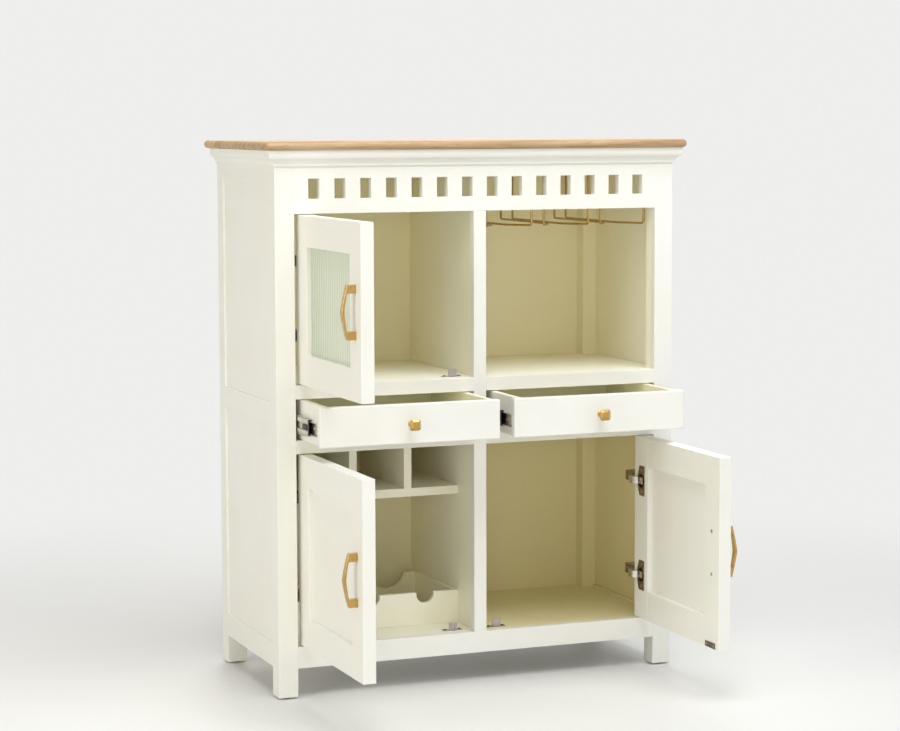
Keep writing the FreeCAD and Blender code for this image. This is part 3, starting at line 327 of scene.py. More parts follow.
def plastic_material():
    t = new_material("black_plastic")
    cloud = t.noise(90, (1, 1, 1), 2)
    base = t.mix(cloud, (0.012, 0.012, 0.013), (0.03, 0.03, 0.032))
    level = t.grey(t.noise(200, (1, 1, 1), 2), [(0.3, 0.38), (0.7, 0.55)])
    t.set(Base_Color=base, Roughness=level, Normal=t.bump(t.noise(1500), 0.15, 0.0001))
    return t.owner


# Name, colour, worn colour, roughness and, for steel, the run of its marks
METALS = {
    "brass": ("satin_brass", (0.55, 0.345, 0.105), (0.62, 0.40, 0.14), 0.27),
    "wire": ("brass_wire", (0.44, 0.28, 0.08), (0.54, 0.36, 0.12), 0.3),
    "bronze": ("bronze_plate", (0.27, 0.20, 0.15), (0.37, 0.28, 0.21), 0.36),
    "nickel": ("bright_nickel", (0.74, 0.71, 0.66), (0.66, 0.63, 0.58), 0.2),
    "steel": ("zinc_steel", (0.60, 0.59, 0.53), (0.70, 0.69, 0.62), 0.3, (1, 0.04, 1)),
    "catch": ("dull_steel", (0.40, 0.35, 0.34), (0.50, 0.44, 0.42), 0.3),
    "screw": ("screw_steel", (0.42, 0.38, 0.33), (0.52, 0.48, 0.42), 0.3),
    "copper": ("yellow_zinc", (0.62, 0.36, 0.22), (0.68, 0.46, 0.30), 0.3),
    # near-black screw crosses: painted shade of the recesses
    "slot": ("screw_slot", (0.05, 0.045, 0.04), (0.07, 0.06, 0.05), 0.5),
}


def make_materials():
    made = {
        "paint": paint_material("cream_paint"),
        "carcass": paint_material("cream_paint_carcass_painted_shade", painted_inside_shade),
        "drawer": paint_material("cream_paint_drawer_painted_shade", painted_drawer_shade),
        "oak": oak_material(),
        "glass": glass_material(),
        "plastic": plastic_material(),
    }
    made.update({look: metal_material(*values) for look, values in METALS.items()})
    return made


# Meshes

# Radius that stands in for 0, so that a turned shape has no points in one place
TURNED_TIP = 1e-3
# CAD nodes that a piece stands in for
MADE = set()


class Shape:
    """A mesh under construction, in millimetres."""

    def __init__(self):
        self.build = bmesh.new()

    def add(self, points, faces, matrix=None):
        spots = [Vector(point) for point in points]
        if matrix is not None:
            spots = [matrix @ spot for spot in spots]
        verts = [self.build.verts.new(spot) for spot in spots]
        made = []
        for face in faces:
            made.append(self.build.faces.new([verts[index] for index in face]))
        return verts, made

    def box(self, low, high, matrix=None):
        points = [(x, y, z) for x in (low[0], high[0]) for y in (low[1], high[1])
                  for z in (low[2], high[2])]
        faces = [(0, 1, 3, 2), (4, 6, 7, 5), (0, 4, 5, 1), (2, 3, 7, 6), (0, 2, 6, 4),
                 (1, 5, 7, 3)]
        self.add(points, faces, matrix)

    def rings(self, rings, matrix=None, closed=False):
        """A skin over rings of as many points each; it has end faces unless it is closed."""
        count = len(rings[0])
        points = [point for ring in rings for point in ring]
        faces = []
        last = len(rings) - 1
        pairs = [(row, row + 1) for row in range(last)]
        if closed:
            pairs.append((last, 0))
        for row, following in pairs:
            for spot in range(count):
                beside = (spot + 1) % count
                faces.append((row * count + spot, row * count + beside,
                              following * count + beside, following * count + spot))
        if not closed:
            faces.append(tuple(range(count))[::-1])
            faces.append(tuple(range(last * count, (last + 1) * count)))
        self.add(points, faces, matrix)

    def prism(self, outline, low, high, matrix=None):
        """An outline of (x, y) points pulled from low to high along z."""
        self.rings([[(x, y, z) for x, y in outline] for z in (low, high)], matrix)

    def turned(self, profile, matrix=None, segments=32):
        """A profile of (radius, height) points turned about z."""
        rings = []
        for radius, height in profile:
            radius = max(radius, TURNED_TIP)
            rings.append([(*on_circle(radius, angle), height) for angle in around(segments)])
        self.rings(rings, matrix)

    def tube(self, path, radius, segments=16):
        """A round wire along a path."""
        path = [Vector(point) for point in path]
        along = (path[1] - path[0]).normalized()
        side = along.orthogonal().normalized()
        rings = []
        for index, here in enumerate(path):
            before = path[max(index - 1, 0)]
            after = path[min(index + 1, len(path) - 1)]
            turn = along.rotation_difference((after - before).normalized())
            along = turn @ along
            side = turn @ side
            up = along.cross(side)
            rings.append([here + (side * math.cos(angle) + up * math.sin(angle)) * radius
                          for angle in around(segments)])
        self.rings(rings)

    def done(self, name, material, body, slot, nodes=(), edge=0, segments=2, angle=30):
        """Makes the piece; edge is the width of its rounded edges, in millimetres."""
        build = self.build
        bmesh.ops.scale(build, vec=(MM, MM, MM), verts=build.verts)
        bmesh.ops.recalc_face_normals(build, faces=build.faces)
        mesh = bpy.data.meshes.new(name)
        build.to_mesh(mesh)
        build.free()
        mesh.polygons.foreach_set("use_smooth", [True] * len(mesh.polygons))
        mesh.materials.append(material)
        piece = bpy.data.objects.new(name, mesh)
        bpy.context.scene.collection.objects.link(piece)
        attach(piece, body)
        if nodes:
            MADE.update(nodes)
            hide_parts(*nodes)
        if edge:
            round_edges(piece, edge, segments, angle)
        else:
            mesh.set_sharp_from_angle(angle=math.radians(angle))


def round_edges(piece, width, segments, angle):
    bevel = piece.modifiers.new("edges", "BEVEL")
    bevel.width = width * MM
    bevel.segments = segments
    bevel.limit_method = "ANGLE"
    bevel.angle_limit = math.radians(angle)
    bevel.harden_normals = True
    bevel.use_clamp_overlap = True


def around(count):
    return [math.tau * step / count for step in range(count)]


def on_circle(radius, angle, x=0, y=0):
    """The point at a radius and an angle from (x, y)."""
    return x + radius * math.cos(angle), y + radius * math.sin(angle)


def arc_points(start, end, radius, turn, steps):
    """Points from start to end on the short arc; turn is 1 anticlockwise, -1 clockwise."""
    start, end = Vector(start), Vector(end)
    half = (end - start) / 2
    rise = math.sqrt(max(radius * radius - half.length_squared, 0))
    centre = (start + end) / 2 + Vector((-half.y, half.x)).normalized() * rise * turn
    first = math.atan2(start.y - centre.y, start.x - centre.x)
    sweep = (math.atan2(end.y - centre.y, end.x - centre.x) - first) % math.tau
    if turn < 0:
        sweep -= math.tau
    return [on_circle(radius, first + sweep * step / steps, *centre)
            for step in range(steps + 1)]


# Dressed CAD nodes

# Points nearer to each other than this are one, in millimetres
SAME_POINT = 0.002
# A solid that fills more of its box than this is a board with eased edges
BOX_SHARE = 0.985
# A door frame's member with more points than this is bored for the hinge cups
BORED_POINTS = 40


def islands(node):
    """The separate solids of a CAD node, each as its points and faces, in millimetres."""
    mesh = frame["nodes"][node].data
    build = bmesh.new()
    for vertex in mesh.vertices:
        build.verts.new(vertex.co / MM)
    build.verts.ensure_lookup_table()
    for face in mesh.polygons:
        build.faces.new([build.verts[index] for index in face.vertices])
    bmesh.ops.remove_doubles(build, verts=build.verts, dist=SAME_POINT)
    # solids that touch share points, but no edge with just two faces
    loose = set(build.faces)
    found = []
    for first in build.faces:
        if first not in loose:
            continue
        loose.remove(first)
        group = [first]
        for face in group:
            for edge in face.edges:
                if len(edge.link_faces) == 2:
                    for beside in edge.link_faces:
                        if beside in loose:
                            loose.remove(beside)
                            group.append(beside)
        verts = list(dict.fromkeys(vertex for face in group for vertex in face.verts))
        number = {vertex: index for index, vertex in enumerate(verts)}
        faces = [[number[vertex] for vertex in face.verts] for face in group]
        found.append(([vertex.co.copy() for vertex in verts], faces))
    build.free()
    found.sort(key=lambda item: tuple(round(value, 2) for value in middle(item[0])))
    return found


def corners(points):
    low = Vector(min(point[axis] for point in points) for axis in range(3))
    high = Vector(max(point[axis] for point in points) for axis in range(3))
    return low, high


def middle(points):
    low, high = corners(points)
    return (low + high) / 2


def volume(points, faces):
    total = 0
    for face in faces:
        for second, third in zip(face[1:], face[2:]):
            total += points[face[0]].dot(points[second].cross(points[third]))
    return abs(total) / 6


def is_box(points, faces):
    low, high = corners(points)
    size = high - low
    return volume(points, faces) > BOX_SHARE * size.x * size.y * size.z


def add_solid(shape, points, faces):
    """A CAD solid with its coplanar faces joined up; a board becomes a sharp box."""
    if is_box(points, faces):
        shape.box(*corners(points))
        return
    verts, made = shape.add(points, faces)
    build = shape.build
    edges = list(dict.fromkeys(edge for face in made for edge in face.edges))
    joined = bmesh.ops.dissolve_limit(
        build, angle_limit=math.radians(0.5), use_dissolve_boundaries=False,
        verts=verts, edges=edges, delimit={"NORMAL"})
    bmesh.ops.triangulate(build, faces=[f for f in joined["region"] if len(f.verts) > 4])


def dressed(node, material, body, slot, edge, segments):
    """A CAD node with rounded edges; bored stiles keep the edges they have."""
    shape, bored = Shape(), Shape()
    for points, faces in islands(node):
        if node.endswith("_door_frame") and len(points) > BORED_POINTS:
            bored.add(points, faces)
        else:
            add_solid(shape, points, faces)
    if bored.build.faces:
        bored.done(f"{node}_bored", material, body, slot)
    shape.done(f"{node}_piece", material, body, slot, [node], edge, segments)


def node_body(node):
    for body, members in frame["record"]["behaviour"]["bodies"].items():
        if node in members:
            return body


def node_corners(node):
    """The low and high corners of a CAD node, in millimetres."""
    return [Vector(corner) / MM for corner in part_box(node)]


# Width of the rounded edges of each slot, in millimetres, and its material
EDGES = {"cream_paint": 0.9, "oak_top": 1, "glass": 0.3, "brass": 0.3, "bronze": 0.25,
         "nickel": 0.25, "slide_steel": 0.2, "black_plastic": 0.3}
DRAWER_FRONT_EDGE = 2.6
LOOKS = {"cream_paint": "paint", "oak_top": "oak", "glass": "glass", "brass": "brass",
         "bronze": "bronze", "nickel": "nickel", "slide_steel": "steel",
         "black_plastic": "plastic"}


def dress_rest(m):
    """A dressed piece for each CAD node that has none yet, by its material slot."""
    for part in frame["record"]["subparts"]:
        node = part["node"]
        if node in MADE:
            continue
        slot = part["material_slot"]
        body = node_body(node)
        look = LOOKS[slot]
        # carcass paint has painted shade inside
        if look == "paint" and body == "carcass":
            look = "carcass"
        # drawer-box paint has painted shade inside
        elif "drawer_box" in node or "drawer_bottom" in node:
            look = "drawer"
        edge = DRAWER_FRONT_EDGE if node.endswith("_drawer_front") else EDGES[slot]
        dressed(node, m[look], body, slot, edge, 3)


# The top and its moulding

NOSING = 9.3
NOSING_STEPS = 14
TOP_CORNER = 11
CORNER_STEPS = 8


def top_board(m):
    """Oak with a half-round nosing."""
    low, high = node_corners("top_board")
    centre = (low + high) / 2
    inner = (high - low) / 2 - Vector((TOP_CORNER, TOP_CORNER, 0))
    rings = []
    for step in range(NOSING_STEPS + 1):
        rise = math.pi * step / NOSING_STEPS
        reach = TOP_CORNER - NOSING + NOSING * math.sin(rise)
        z = centre.z - NOSING * math.cos(rise)
        ring = []
        for turn, (side, ahead) in enumerate(((1, 1), (-1, 1), (-1, -1), (1, -1))):
            for part in range(CORNER_STEPS + 1):
                angle = (turn + part / CORNER_STEPS) * math.pi / 2
                ring.append((*on_circle(reach, angle, centre.x + side * inner.x,
                                        centre.y + ahead * inner.y), z))
        rings.append(ring)
    shape = Shape()
    shape.rings(rings)
    shape.done("top_board_piece", m["oak"], "carcass", "oak_top", ["top_board"], angle=40)


# Moulding: heights, reaches from the carcass and the radius of both curves
CORNICE_HEIGHT = 34.5
CORNICE_REACH = 17
CORNICE_FOOT = 4
CORNICE_COVE = 12
CORNICE_STEP = 13.5
CORNICE_LEDGE = 15.5
CORNICE_LIP = 26
CORNICE_CURVE = 16


def cornice_profile():
    """(reach, height) points from the foot up."""
    cove = arc_points((-CORNICE_FOOT, 0), (-CORNICE_COVE, CORNICE_LEDGE), CORNICE_CURVE, 1, 8)
    swell = arc_points((-CORNICE_STEP, CORNICE_LEDGE), (-CORNICE_REACH, CORNICE_LIP),
                       CORNICE_CURVE, -1, 7)
    return ([(0, 0), (CORNICE_FOOT, 0)] + [(-x, y) for x, y in cove[1:]]
            + [(CORNICE_STEP, CORNICE_LEDGE)] + [(-x, y) for x, y in swell[1:]]
            + [(CORNICE_REACH, CORNICE_HEIGHT), (0, CORNICE_HEIGHT)])


def cornice(m):
    z = BODY_TOP - CORNICE_HEIGHT
    stations = []
    for side, y, ahead in ((-1, HALF_DEPTH, 0), (-1, FRONT, 1), (1, FRONT, 1),
                           (1, HALF_DEPTH, 0)):
        stations.append([(side * (HALF_WIDTH + reach), y - reach * ahead, z + height)
                         for reach, height in cornice_profile()])
    shape = Shape()
    shape.rings(stations)
    shape.done("cornice_piece", m["carcass"], "carcass", "cream_paint", ["cornice"], 0.5, 2, 35)


# Doors

HANDLE_X = DOOR_GAP + DOOR_WIDTH - 34
HANDLE_WIDTH = 12
HANDLE_BOW = 1.25
HANDLE_STEPS = 8
# Half the length of each side of a handle, its reach in the middle and its fall to the ends
HANDLE_OUTER = (57, 31.5, 12)
HANDLE_INNER = (39, 25.2, 5.2)
HANDLE_SCREWS = (-48, 48)
FLUTE_STEPS = 10
FLUTE_DEPTH = 1.6


def door_place(side):
    """(x from the post, y back from the closed front, z) to the open door."""
    return Matrix(((0, -side, 0, side * -DOOR_X), (-1, 0, 0, DOOR_Y), (0, 0, 1, 0),
                   (0, 0, 0, 1)))


def on_inner_face(door, x, z, out=0):
    """A place on a door's inner face: x along the door, y up, z out of the face."""
    return door @ Matrix(((1, 0, 0, x), (0, 0, 1, DOOR_THICK + out), (0, 1, 0, z),
                          (0, 0, 0, 1)))


def bowed(half, reach, fall):
    """(along, outward) points of a side that stands furthest out in its middle."""
    shares = [step / HANDLE_STEPS for step in range(-HANDLE_STEPS, HANDLE_STEPS + 1)]
    return [(half * share, reach - fall * abs(share) ** HANDLE_BOW) for share in shares]


def handles(m):
    outer_end, inner_end = HANDLE_OUTER[0], HANDLE_INNER[0]
    points = ([(-outer_end, 0)] + bowed(*HANDLE_OUTER) + [(outer_end, 0), (inner_end, 0)]
              + bowed(*HANDLE_INNER)[::-1] + [(-inner_end, 0)])
    for name, (side, bottom, top) in DOORS.items():
        # outline in (z, outward), pulled along x
        turn = Matrix(((0, 0, 1, HANDLE_X - HANDLE_WIDTH / 2), (0, -1, 0, 0),
                       (1, 0, 0, (bottom + top) / 2), (0, 0, 0, 1)))
        shape = Shape()
        shape.prism(points, 0, HANDLE_WIDTH, door_place(side) @ turn)
        shape.done(f"{name}_handle_piece", m["brass"], f"{name}_door", "brass",
                   [f"{name}_handle"], 1.1, 3)


def flutes(m):
    """A pane with upright flutes on its outer face."""
    low, high = node_corners("upper_left_door_glass")
    width = high.y - low.y
    steps = round(width * MM / RIB) * FLUTE_STEPS
    outline = []
    for step in range(steps + 1):
        swell = math.sin(math.pi * (step % FLUTE_STEPS) / FLUTE_STEPS)
        outline.append((low.x + FLUTE_DEPTH * (1 - swell), low.y + width * step / steps))
    outline += [(high.x, high.y), (high.x, low.y)]
    shape = Shape()
    shape.prism(outline, low.z, high.z)
    shape.done("upper_left_door_glass_piece", m["glass"], "upper_left_door", "glass",
               ["upper_left_door_glass"], angle=50)


# Knobs

# Half width, cut corner and height of each ring of the head
KNOB_HEAD = ((10.6, 3, 22), (12, 3.5, 23.2), (12, 3.5, 26.5), (7.6, 1.6, 31))
KNOB_STEM = ((0, 0), (7.5, 0), (7.5, 0.8), (5.4, 2.4), (4.8, 6), (4.8, 16), (5.6, 20),
             (7.5, 22.4), (0, 22.4))


def cut_square(half, cut, z):
    """A square ring with cut corners."""
    far = half - cut
    return [(half, -far, z), (half, far, z), (far, half, z), (-far, half, z),
            (-half, far, z), (-half, -far, z), (-far, -half, z), (far, -half, z)]


def knobs(m):
    for name in ("left", "right"):
        low, high = node_corners(f"{name}_knob")
        centre = (low + high) / 2
        place = Matrix.Translation((centre.x, high.y, centre.z)) @ Matrix.Rotation(
            math.radians(RIGHT_ANGLE), 4, "X")
        shape = Shape()
        shape.rings([cut_square(*ring) for ring in KNOB_HEAD], place)
        shape.turned(KNOB_STEM, place)
        shape.done(f"{name}_knob_piece", m["brass"], f"{name}_drawer", "brass",
                   [f"{name}_knob"], 0.45, 2, 25)


# Screws

def screw(dome, cross, place, radius, height):
    """A domed head on the plane z = 0 of its place, with a cross in it; the callers make the
    cross near-black, as painted shade of its recess.
    """
    dome.turned([(0, -0.5), (radius, -0.5), (radius, height * 0.3), (radius * 0.85, height * 0.7),
                 (radius * 0.5, height), (0, height)], place, 20)
    arm = radius * 0.55
    half = radius * 0.11
    for turn in (0, 1):
        spin = place @ Matrix.Rotation(turn * math.pi / 2, 4, "Z")
        cross.box((-arm, -half, height * 0.4), (arm, half, height + 0.04), spin)


def facing(normal, spot):
    """Turns +z towards a normal and moves to a spot."""
    turn = Vector(normal).to_track_quat("Z", "Y").to_matrix().to_4x4()
    return Matrix.Translation(spot) @ turn


# Hinges

HINGE_FROM_END = 103
CUP_X = DOOR_GAP + 35
CUP_FLANGE = [(17, -35), (17, 35), (-8, 35), (-17, 14), (-17, -14), (-8, -35)]
CUP_HOLE = 16.4
CUP_PROFILE = [(0, -11.5), (14.6, -11.5), (16.4, -10), (16.4, 1.4), (17.2, 1.4),
               (17.4, 0), (17.4, -10.4), (15.4, -12.4), (0, -12.4)]
CUP_SEATS = (((-18.4, -8, -11.4), (-10.6, 8, -4.4)), ((-14.2, -8, -4.4), (7, 8, 1.3)))
CUP_SCREW_X = 4.5
CUP_SCREW_RISE = 25.5
PLATE = 1.5
# The strike: its ends along the door, its height above the door's bottom and its screws
STRIKE_ENDS = (361, 407)
STRIKE_RISE = (1.5, 14.5)
STRIKE_SCREWS = (368, 400)
STRIKE_SCREW_RISE = 6.5
# The moving link, as the door stands open, from its pivot in the arm
LINK_PIVOT = (-411, -185.2)
LINK_TURN = -67.3
LINK_HEIGHT = 16
LINK_LENGTH = 41.8
LINK_HALF_THICK = 1.3
LINK_HALF_ANGLE = 85
LINK_STEPS = 18
LINK_EYE = 2.3
# Screws of an arm, as (y, radius), and of its mounting plate
ARM_FACE = 407.5
ARM_SCREWS = ((-148, 4.5), (-137.5, 3.2))
MOUNT_FACE = 435.5
MOUNT_Y = -150
MOUNT_SCREW_RISE = 18.5


def hinge_levels(bottom, top):
    return (bottom + HINGE_FROM_END, top - HINGE_FROM_END)


def ray_to(outline, angle):
    """Where a ray from the origin meets a convex outline."""
    across = Vector((math.cos(angle), math.sin(angle)))
    reach = None
    for first, second in zip(outline, outline[1:] + outline[:1]):
        first, second = Vector(first), Vector(second)
        side = second - first
        cross = across.x * side.y - across.y * side.x
        if abs(cross) < 1e-9:
            continue
        far = (first.x * side.y - first.y * side.x) / cross
        share = (first.x * across.y - first.y * across.x) / cross
        if far > 0 and -1e-6 <= share <= 1 + 1e-6:
            reach = far if reach is None else min(reach, far)
    return across * reach


def ring_plate(shape, outline, radius, low, high, place):
    """A flat plate with a round hole."""
    angles = sorted(set(around(48)) | {math.atan2(y, x) % math.tau for x, y in outline})
    edge = [ray_to(outline, angle) for angle in angles]
    hole = [on_circle(radius, angle) for angle in angles]
    shape.rings([[(x, y, z) for x, y in ring] for ring, z in (
        (edge, high), (hole, high), (hole, low), (edge, low))], place, closed=True)


def hinge_cups(m):
    """Cups with their flanges, the links fixed in them, and the strikes below."""
    for name, (side, bottom, top) in DOORS.items():
        door = door_place(side)
        plates, seats, domes, crosses = Shape(), Shape(), Shape(), Shape()
        for z in hinge_levels(bottom, top):
            place = on_inner_face(door, CUP_X, z)
            ring_plate(plates, CUP_FLANGE, CUP_HOLE, 0, PLATE, place)
            plates.turned(CUP_PROFILE, place, 40)
            for low, high in CUP_SEATS:
                seats.box(low, high, place)
            for up in (-CUP_SCREW_RISE, CUP_SCREW_RISE):
                spot = place @ Matrix.Translation((CUP_SCREW_X, up, PLATE))
                screw(domes, crosses, spot, 3.9, 1.3)
        low, high = [bottom + rise for rise in STRIKE_RISE]
        plates.box((STRIKE_ENDS[0], DOOR_THICK, low),
                   (STRIKE_ENDS[1], DOOR_THICK + PLATE, high), door)
        for x in STRIKE_SCREWS:
            spot = on_inner_face(door, x, low + STRIKE_SCREW_RISE, PLATE)
            screw(domes, crosses, spot, 3, 0.9)
        for rise in HANDLE_SCREWS:
            spot = on_inner_face(door, HANDLE_X, (bottom + top) / 2 + rise)
            screw(domes, crosses, spot, 4, 1.6)
        body = f"{name}_door"
        plates.done(f"{name}_hinge_cups", m["bronze"], body, "bronze",
                    [f"{name}_door_fittings"], 0.35, 2)
        seats.done(f"{name}_hinge_seats", m["nickel"], body, "nickel", (), 0.6, 2)
        domes.done(f"{name}_door_screws", m["screw"], body, "bronze", (), angle=40)
        crosses.done(f"{name}_door_screw_slots", m["slot"], body, "bronze")


def link_outline():
    """The bent strip of a link, from its pivot along x."""
    half = LINK_LENGTH / 2
    sweep = math.radians(LINK_HALF_ANGLE)
    radius = half / math.sin(sweep)
    y = -radius * math.cos(sweep)
    angles = [math.pi / 2 + sweep - 2 * sweep * step / LINK_STEPS
              for step in range(LINK_STEPS + 1)]
    outer = [on_circle(radius + LINK_HALF_THICK, angle, half, y) for angle in angles]
    inner = [on_circle(radius - LINK_HALF_THICK, angle, half, y) for angle in angles]
    return outer + inner[::-1]


def hinge_links(m):
    for name, (side, bottom, top) in DOORS.items():
        shape = Shape()
        for z in hinge_levels(bottom, top):
            place = (Matrix.Diagonal((-side, 1, 1, 1))
                     @ Matrix.Translation((*LINK_PIVOT, z - LINK_HEIGHT / 2))
                     @ Matrix.Rotation(math.radians(LINK_TURN), 4, "Z"))
            shape.prism(link_outline(), 0, LINK_HEIGHT, place)
            shape.turned([(0, 0), (LINK_EYE, 0), (LINK_EYE, LINK_HEIGHT), (0, LINK_HEIGHT)],
                         place, 20)
        shape.done(f"{name}_hinge_links_piece", m["nickel"], f"{name}_links", "nickel",
                   [f"{name}_hinge_links"], 0.4, 2, 40)


def hinge_arms(m):
    """The arms, with their fixing and adjusting screws."""
    dressed("hinge_arms", m["bronze"], "carcass", "bronze", 0.7, 3)
    domes, crosses = Shape(), Shape()
    for side, bottom, top in DOORS.values():
        for z in hinge_levels(bottom, top):
            for y, radius in ARM_SCREWS:
                spot = facing((-side, 0, 0), (side * ARM_FACE, y, z))
                screw(domes, crosses, spot, radius, 1.2)
            for up in (-MOUNT_SCREW_RISE, MOUNT_SCREW_RISE):
                spot = facing((-side, 0, 0), (side * MOUNT_FACE, MOUNT_Y, z + up))
                screw(domes, crosses, spot, 3.6, 1.3)
    domes.done("hinge_arm_screws", m["screw"], "carcass", "bronze", (), angle=40)
    crosses.done("hinge_arm_screw_slots", m["slot"], "carcass", "bronze")


# Catches, from the corners of their CAD solids
CATCH_BASE = 1.6
CATCH_PLATE_HALF = 10
CATCH_PLATE_THICK = 3
CATCH_SCREW_INSET = 5.5
CATCH_SCREW_BACK = 8


def catches(m):
    """A steel base with two screws and an upright plate."""
    shape, domes, crosses = Shape(), Shape(), Shape()
    for points, _ in islands("door_catches"):
        low, high = corners(points)
        centre = (low.x + high.x) / 2
        shape.box(low, (high.x, high.y, low.z + CATCH_BASE))
        shape.box((centre - CATCH_PLATE_HALF, low.y, low.z),
                  (centre + CATCH_PLATE_HALF, low.y + CATCH_PLATE_THICK, high.z))
        for x in (low.x + CATCH_SCREW_INSET, high.x - CATCH_SCREW_INSET):
            spot = Matrix.Translation((x, low.y + CATCH_SCREW_BACK, low.z + CATCH_BASE))
            screw(domes, crosses, spot, 3.4, 1.6)
    shape.done("door_catches_piece", m["catch"], "carcass", "slide_steel", ["door_catches"],
               0.4, 2)
    domes.done("door_catch_screws", m["slot"], "carcass", "slide_steel", (), angle=40)
    crosses.done("door_catch_screw_slots", m["slot"], "carcass", "slide_steel")


# Drawer slides: u goes from the carcass to the drawer, v is the height from the centre line

SLIDE_Z = 615
SLIDE_START = -198
SLIDE_LENGTH = 350
SLIDE_OUT = 100
DRAWER_OUT = 157
# Where each slide is fixed, and the way it faces
SLIDES = {"left": ((-POST_INNER, 1), (-STILE_HALF, -1)),
          "right": ((POST_INNER, -1), (STILE_HALF, 1))}
# Lower halves of the outlines, as (u, v)
CHANNEL_OUTSIDE = [(11, -16), (11, -18.5), (3, -18.5), (2, -17.5), (2, -8), (4.6, -6)]
CHANNEL_INSIDE = [(9.8, -17.3), (3.2, -17.3), (3.2, -8.6), (5.8, -6.6)]
CHANNEL_LIP = (9.8, 16)
INNER_MEMBER = [(11.5, -13.3), (5.2, -13.3), (4.5, -13.8), (4.5, -14.5), (12.7, -14.5)]
STOP_RIM = [(4.2, -14.9), (9.6, -14.9), (9.6, -17.2), (3.3, -17.2)]
# Ball cages: v, half height and both u; and their ends from the member's start
CAGES = ((15.6, 1.4, 3.4, 6.2), (20, 1, 2.8, 6.0))
CAGE_ENDS = (22, 345)
CAGE_NOSE = ((5.4, -4, 3), (6.4, 4, 19))
BALL_RADIUS = 1.2
BALL_U = 4.4
BALL_V = 19.7
BALL_START = 26
BALL_PITCH = 9.5
BALLS = 8
CHANNEL_START = 6
RIM_ENDS = (1, 22)
STOP_BLOCK = ((2.3, -5.4, 16), (4.5, 5.4, 44))
SLIDE_SCREW_U = 11.5
SLIDE_SCREWS = (13, 45)


def mirror_up(points):
    return points + [(u, -v) for u, v in reversed(points)]


def slide_place(spot, turn, start):
    """(u, v, along the slide) to the carcass, from a member's start."""
    return Matrix(((turn, 0, 0, spot), (0, 0, 1, start), (0, 1, 0, SLIDE_Z), (0, 0, 0, 1)))


def add_balls(shape, place):
    profile = [(BALL_RADIUS * math.sin(math.pi * step / 8),
                -BALL_RADIUS * math.cos(math.pi * step / 8)) for step in range(9)]
    for v in (-BALL_V, BALL_V):
        for number in range(BALLS):
            spot = Matrix.Translation((BALL_U, v, BALL_START + number * BALL_PITCH))
            shape.turned(profile, place @ spot, 12)


def slides(m):
    """Rolled steel members, ball cages with their balls, and the black front stops."""
    lip_u, lip_v = CHANNEL_LIP
    channel = (mirror_up(CHANNEL_OUTSIDE) + [(lip_u, lip_v)]
               + mirror_up(CHANNEL_INSIDE)[::-1] + [(lip_u, -lip_v)])
    for name, pair in SLIDES.items():
        steel, inner, cage, balls, black, domes, crosses = [Shape() for _ in range(7)]
        for spot, turn in pair:
            place = slide_place(spot, turn, SLIDE_START - SLIDE_OUT)
            steel.prism(channel, CHANNEL_START, SLIDE_LENGTH, place)
            for height, half, near, far in CAGES:
                for v in (-height, height):
                    cage.box((near, v - half, CAGE_ENDS[0]), (far, v + half, CAGE_ENDS[1]),
                             place)
            cage.box(*CAGE_NOSE, place)
            add_balls(balls, place)
            black.prism(mirror_up(STOP_RIM), *RIM_ENDS, place)
            black.box(*STOP_BLOCK, place)
            place = slide_place(spot, turn, SLIDE_START - DRAWER_OUT)
            inner.prism(mirror_up(INNER_MEMBER), 0, SLIDE_LENGTH, place)
            for along in SLIDE_SCREWS:
                head = place @ Matrix.Translation((SLIDE_SCREW_U, 0, along)) @ (
                    Matrix.Rotation(-math.pi / 2, 4, "Y"))
                screw(domes, crosses, head, 4.2, 1.6)
        middle_body, drawer_body = f"{name}_slides", f"{name}_drawer"
        steel.done(f"{name}_slide_middle_members_piece", m["steel"], middle_body,
                   "slide_steel", [f"{name}_slide_middle_members"], 0.25, 2, 50)
        cage.done(f"{name}_slide_cages", m["steel"], middle_body, "slide_steel", (), 0.3)
        balls.done(f"{name}_slide_balls", m["nickel"], middle_body, "slide_steel")
        black.done(f"{name}_slide_stops_piece", m["plastic"], middle_body,
                   "black_plastic", [f"{name}_slide_stops"], 0.5, 2)
        inner.done(f"{name}_slide_inner_members_piece", m["steel"], drawer_body,
                   "slide_steel", [f"{name}_slide_inner_members"], 0.25, 2)
        domes.done(f"{name}_slide_screws", m["copper"], drawer_body, "slide_steel", (),
                   angle=40)
        crosses.done(f"{name}_slide_screw_slots", m["slot"], drawer_body, "slide_steel")


# Stemware racks

RACKS = {"left": 93, "middle": 235.5, "right": 378}
RACK_TOP = 1162
RACK_LEVEL = RACK_TOP - 124
RACK_NEAR = 15.25
RACK_FAR = 56
# Ends and bend of a wire, back from the front of the carcass
RACK_REAR = FRONT + 400
RACK_BEND = FRONT + 115
RACK_TIP = FRONT + 52
RACK_BENDS = (6, 40, 6)
WIRE_RADIUS = 2.4
BEND_STEP = 10


def rounded(points, radii):
    """A path with each inner point rounded."""
    points = [Vector(point) for point in points]
    path = [points[0]]
    for before, corner, after, radius in zip(points, points[1:], points[2:], radii):
        back = (before - corner).normalized()
        ahead = (after - corner).normalized()
        half = back.angle(ahead) / 2
        centre = corner + (back + ahead).normalized() * (radius / math.sin(half))
        spoke = corner + back * (radius / math.tan(half)) - centre
        sweep = math.pi - half * 2
        count = max(2, math.ceil(math.degrees(sweep) / BEND_STEP))
        axis = ahead.cross(back)
        for number in range(count + 1):
            path.append(centre + Matrix.Rotation(sweep * number / count, 3, axis) @ spoke)
    return path + [points[-1]]


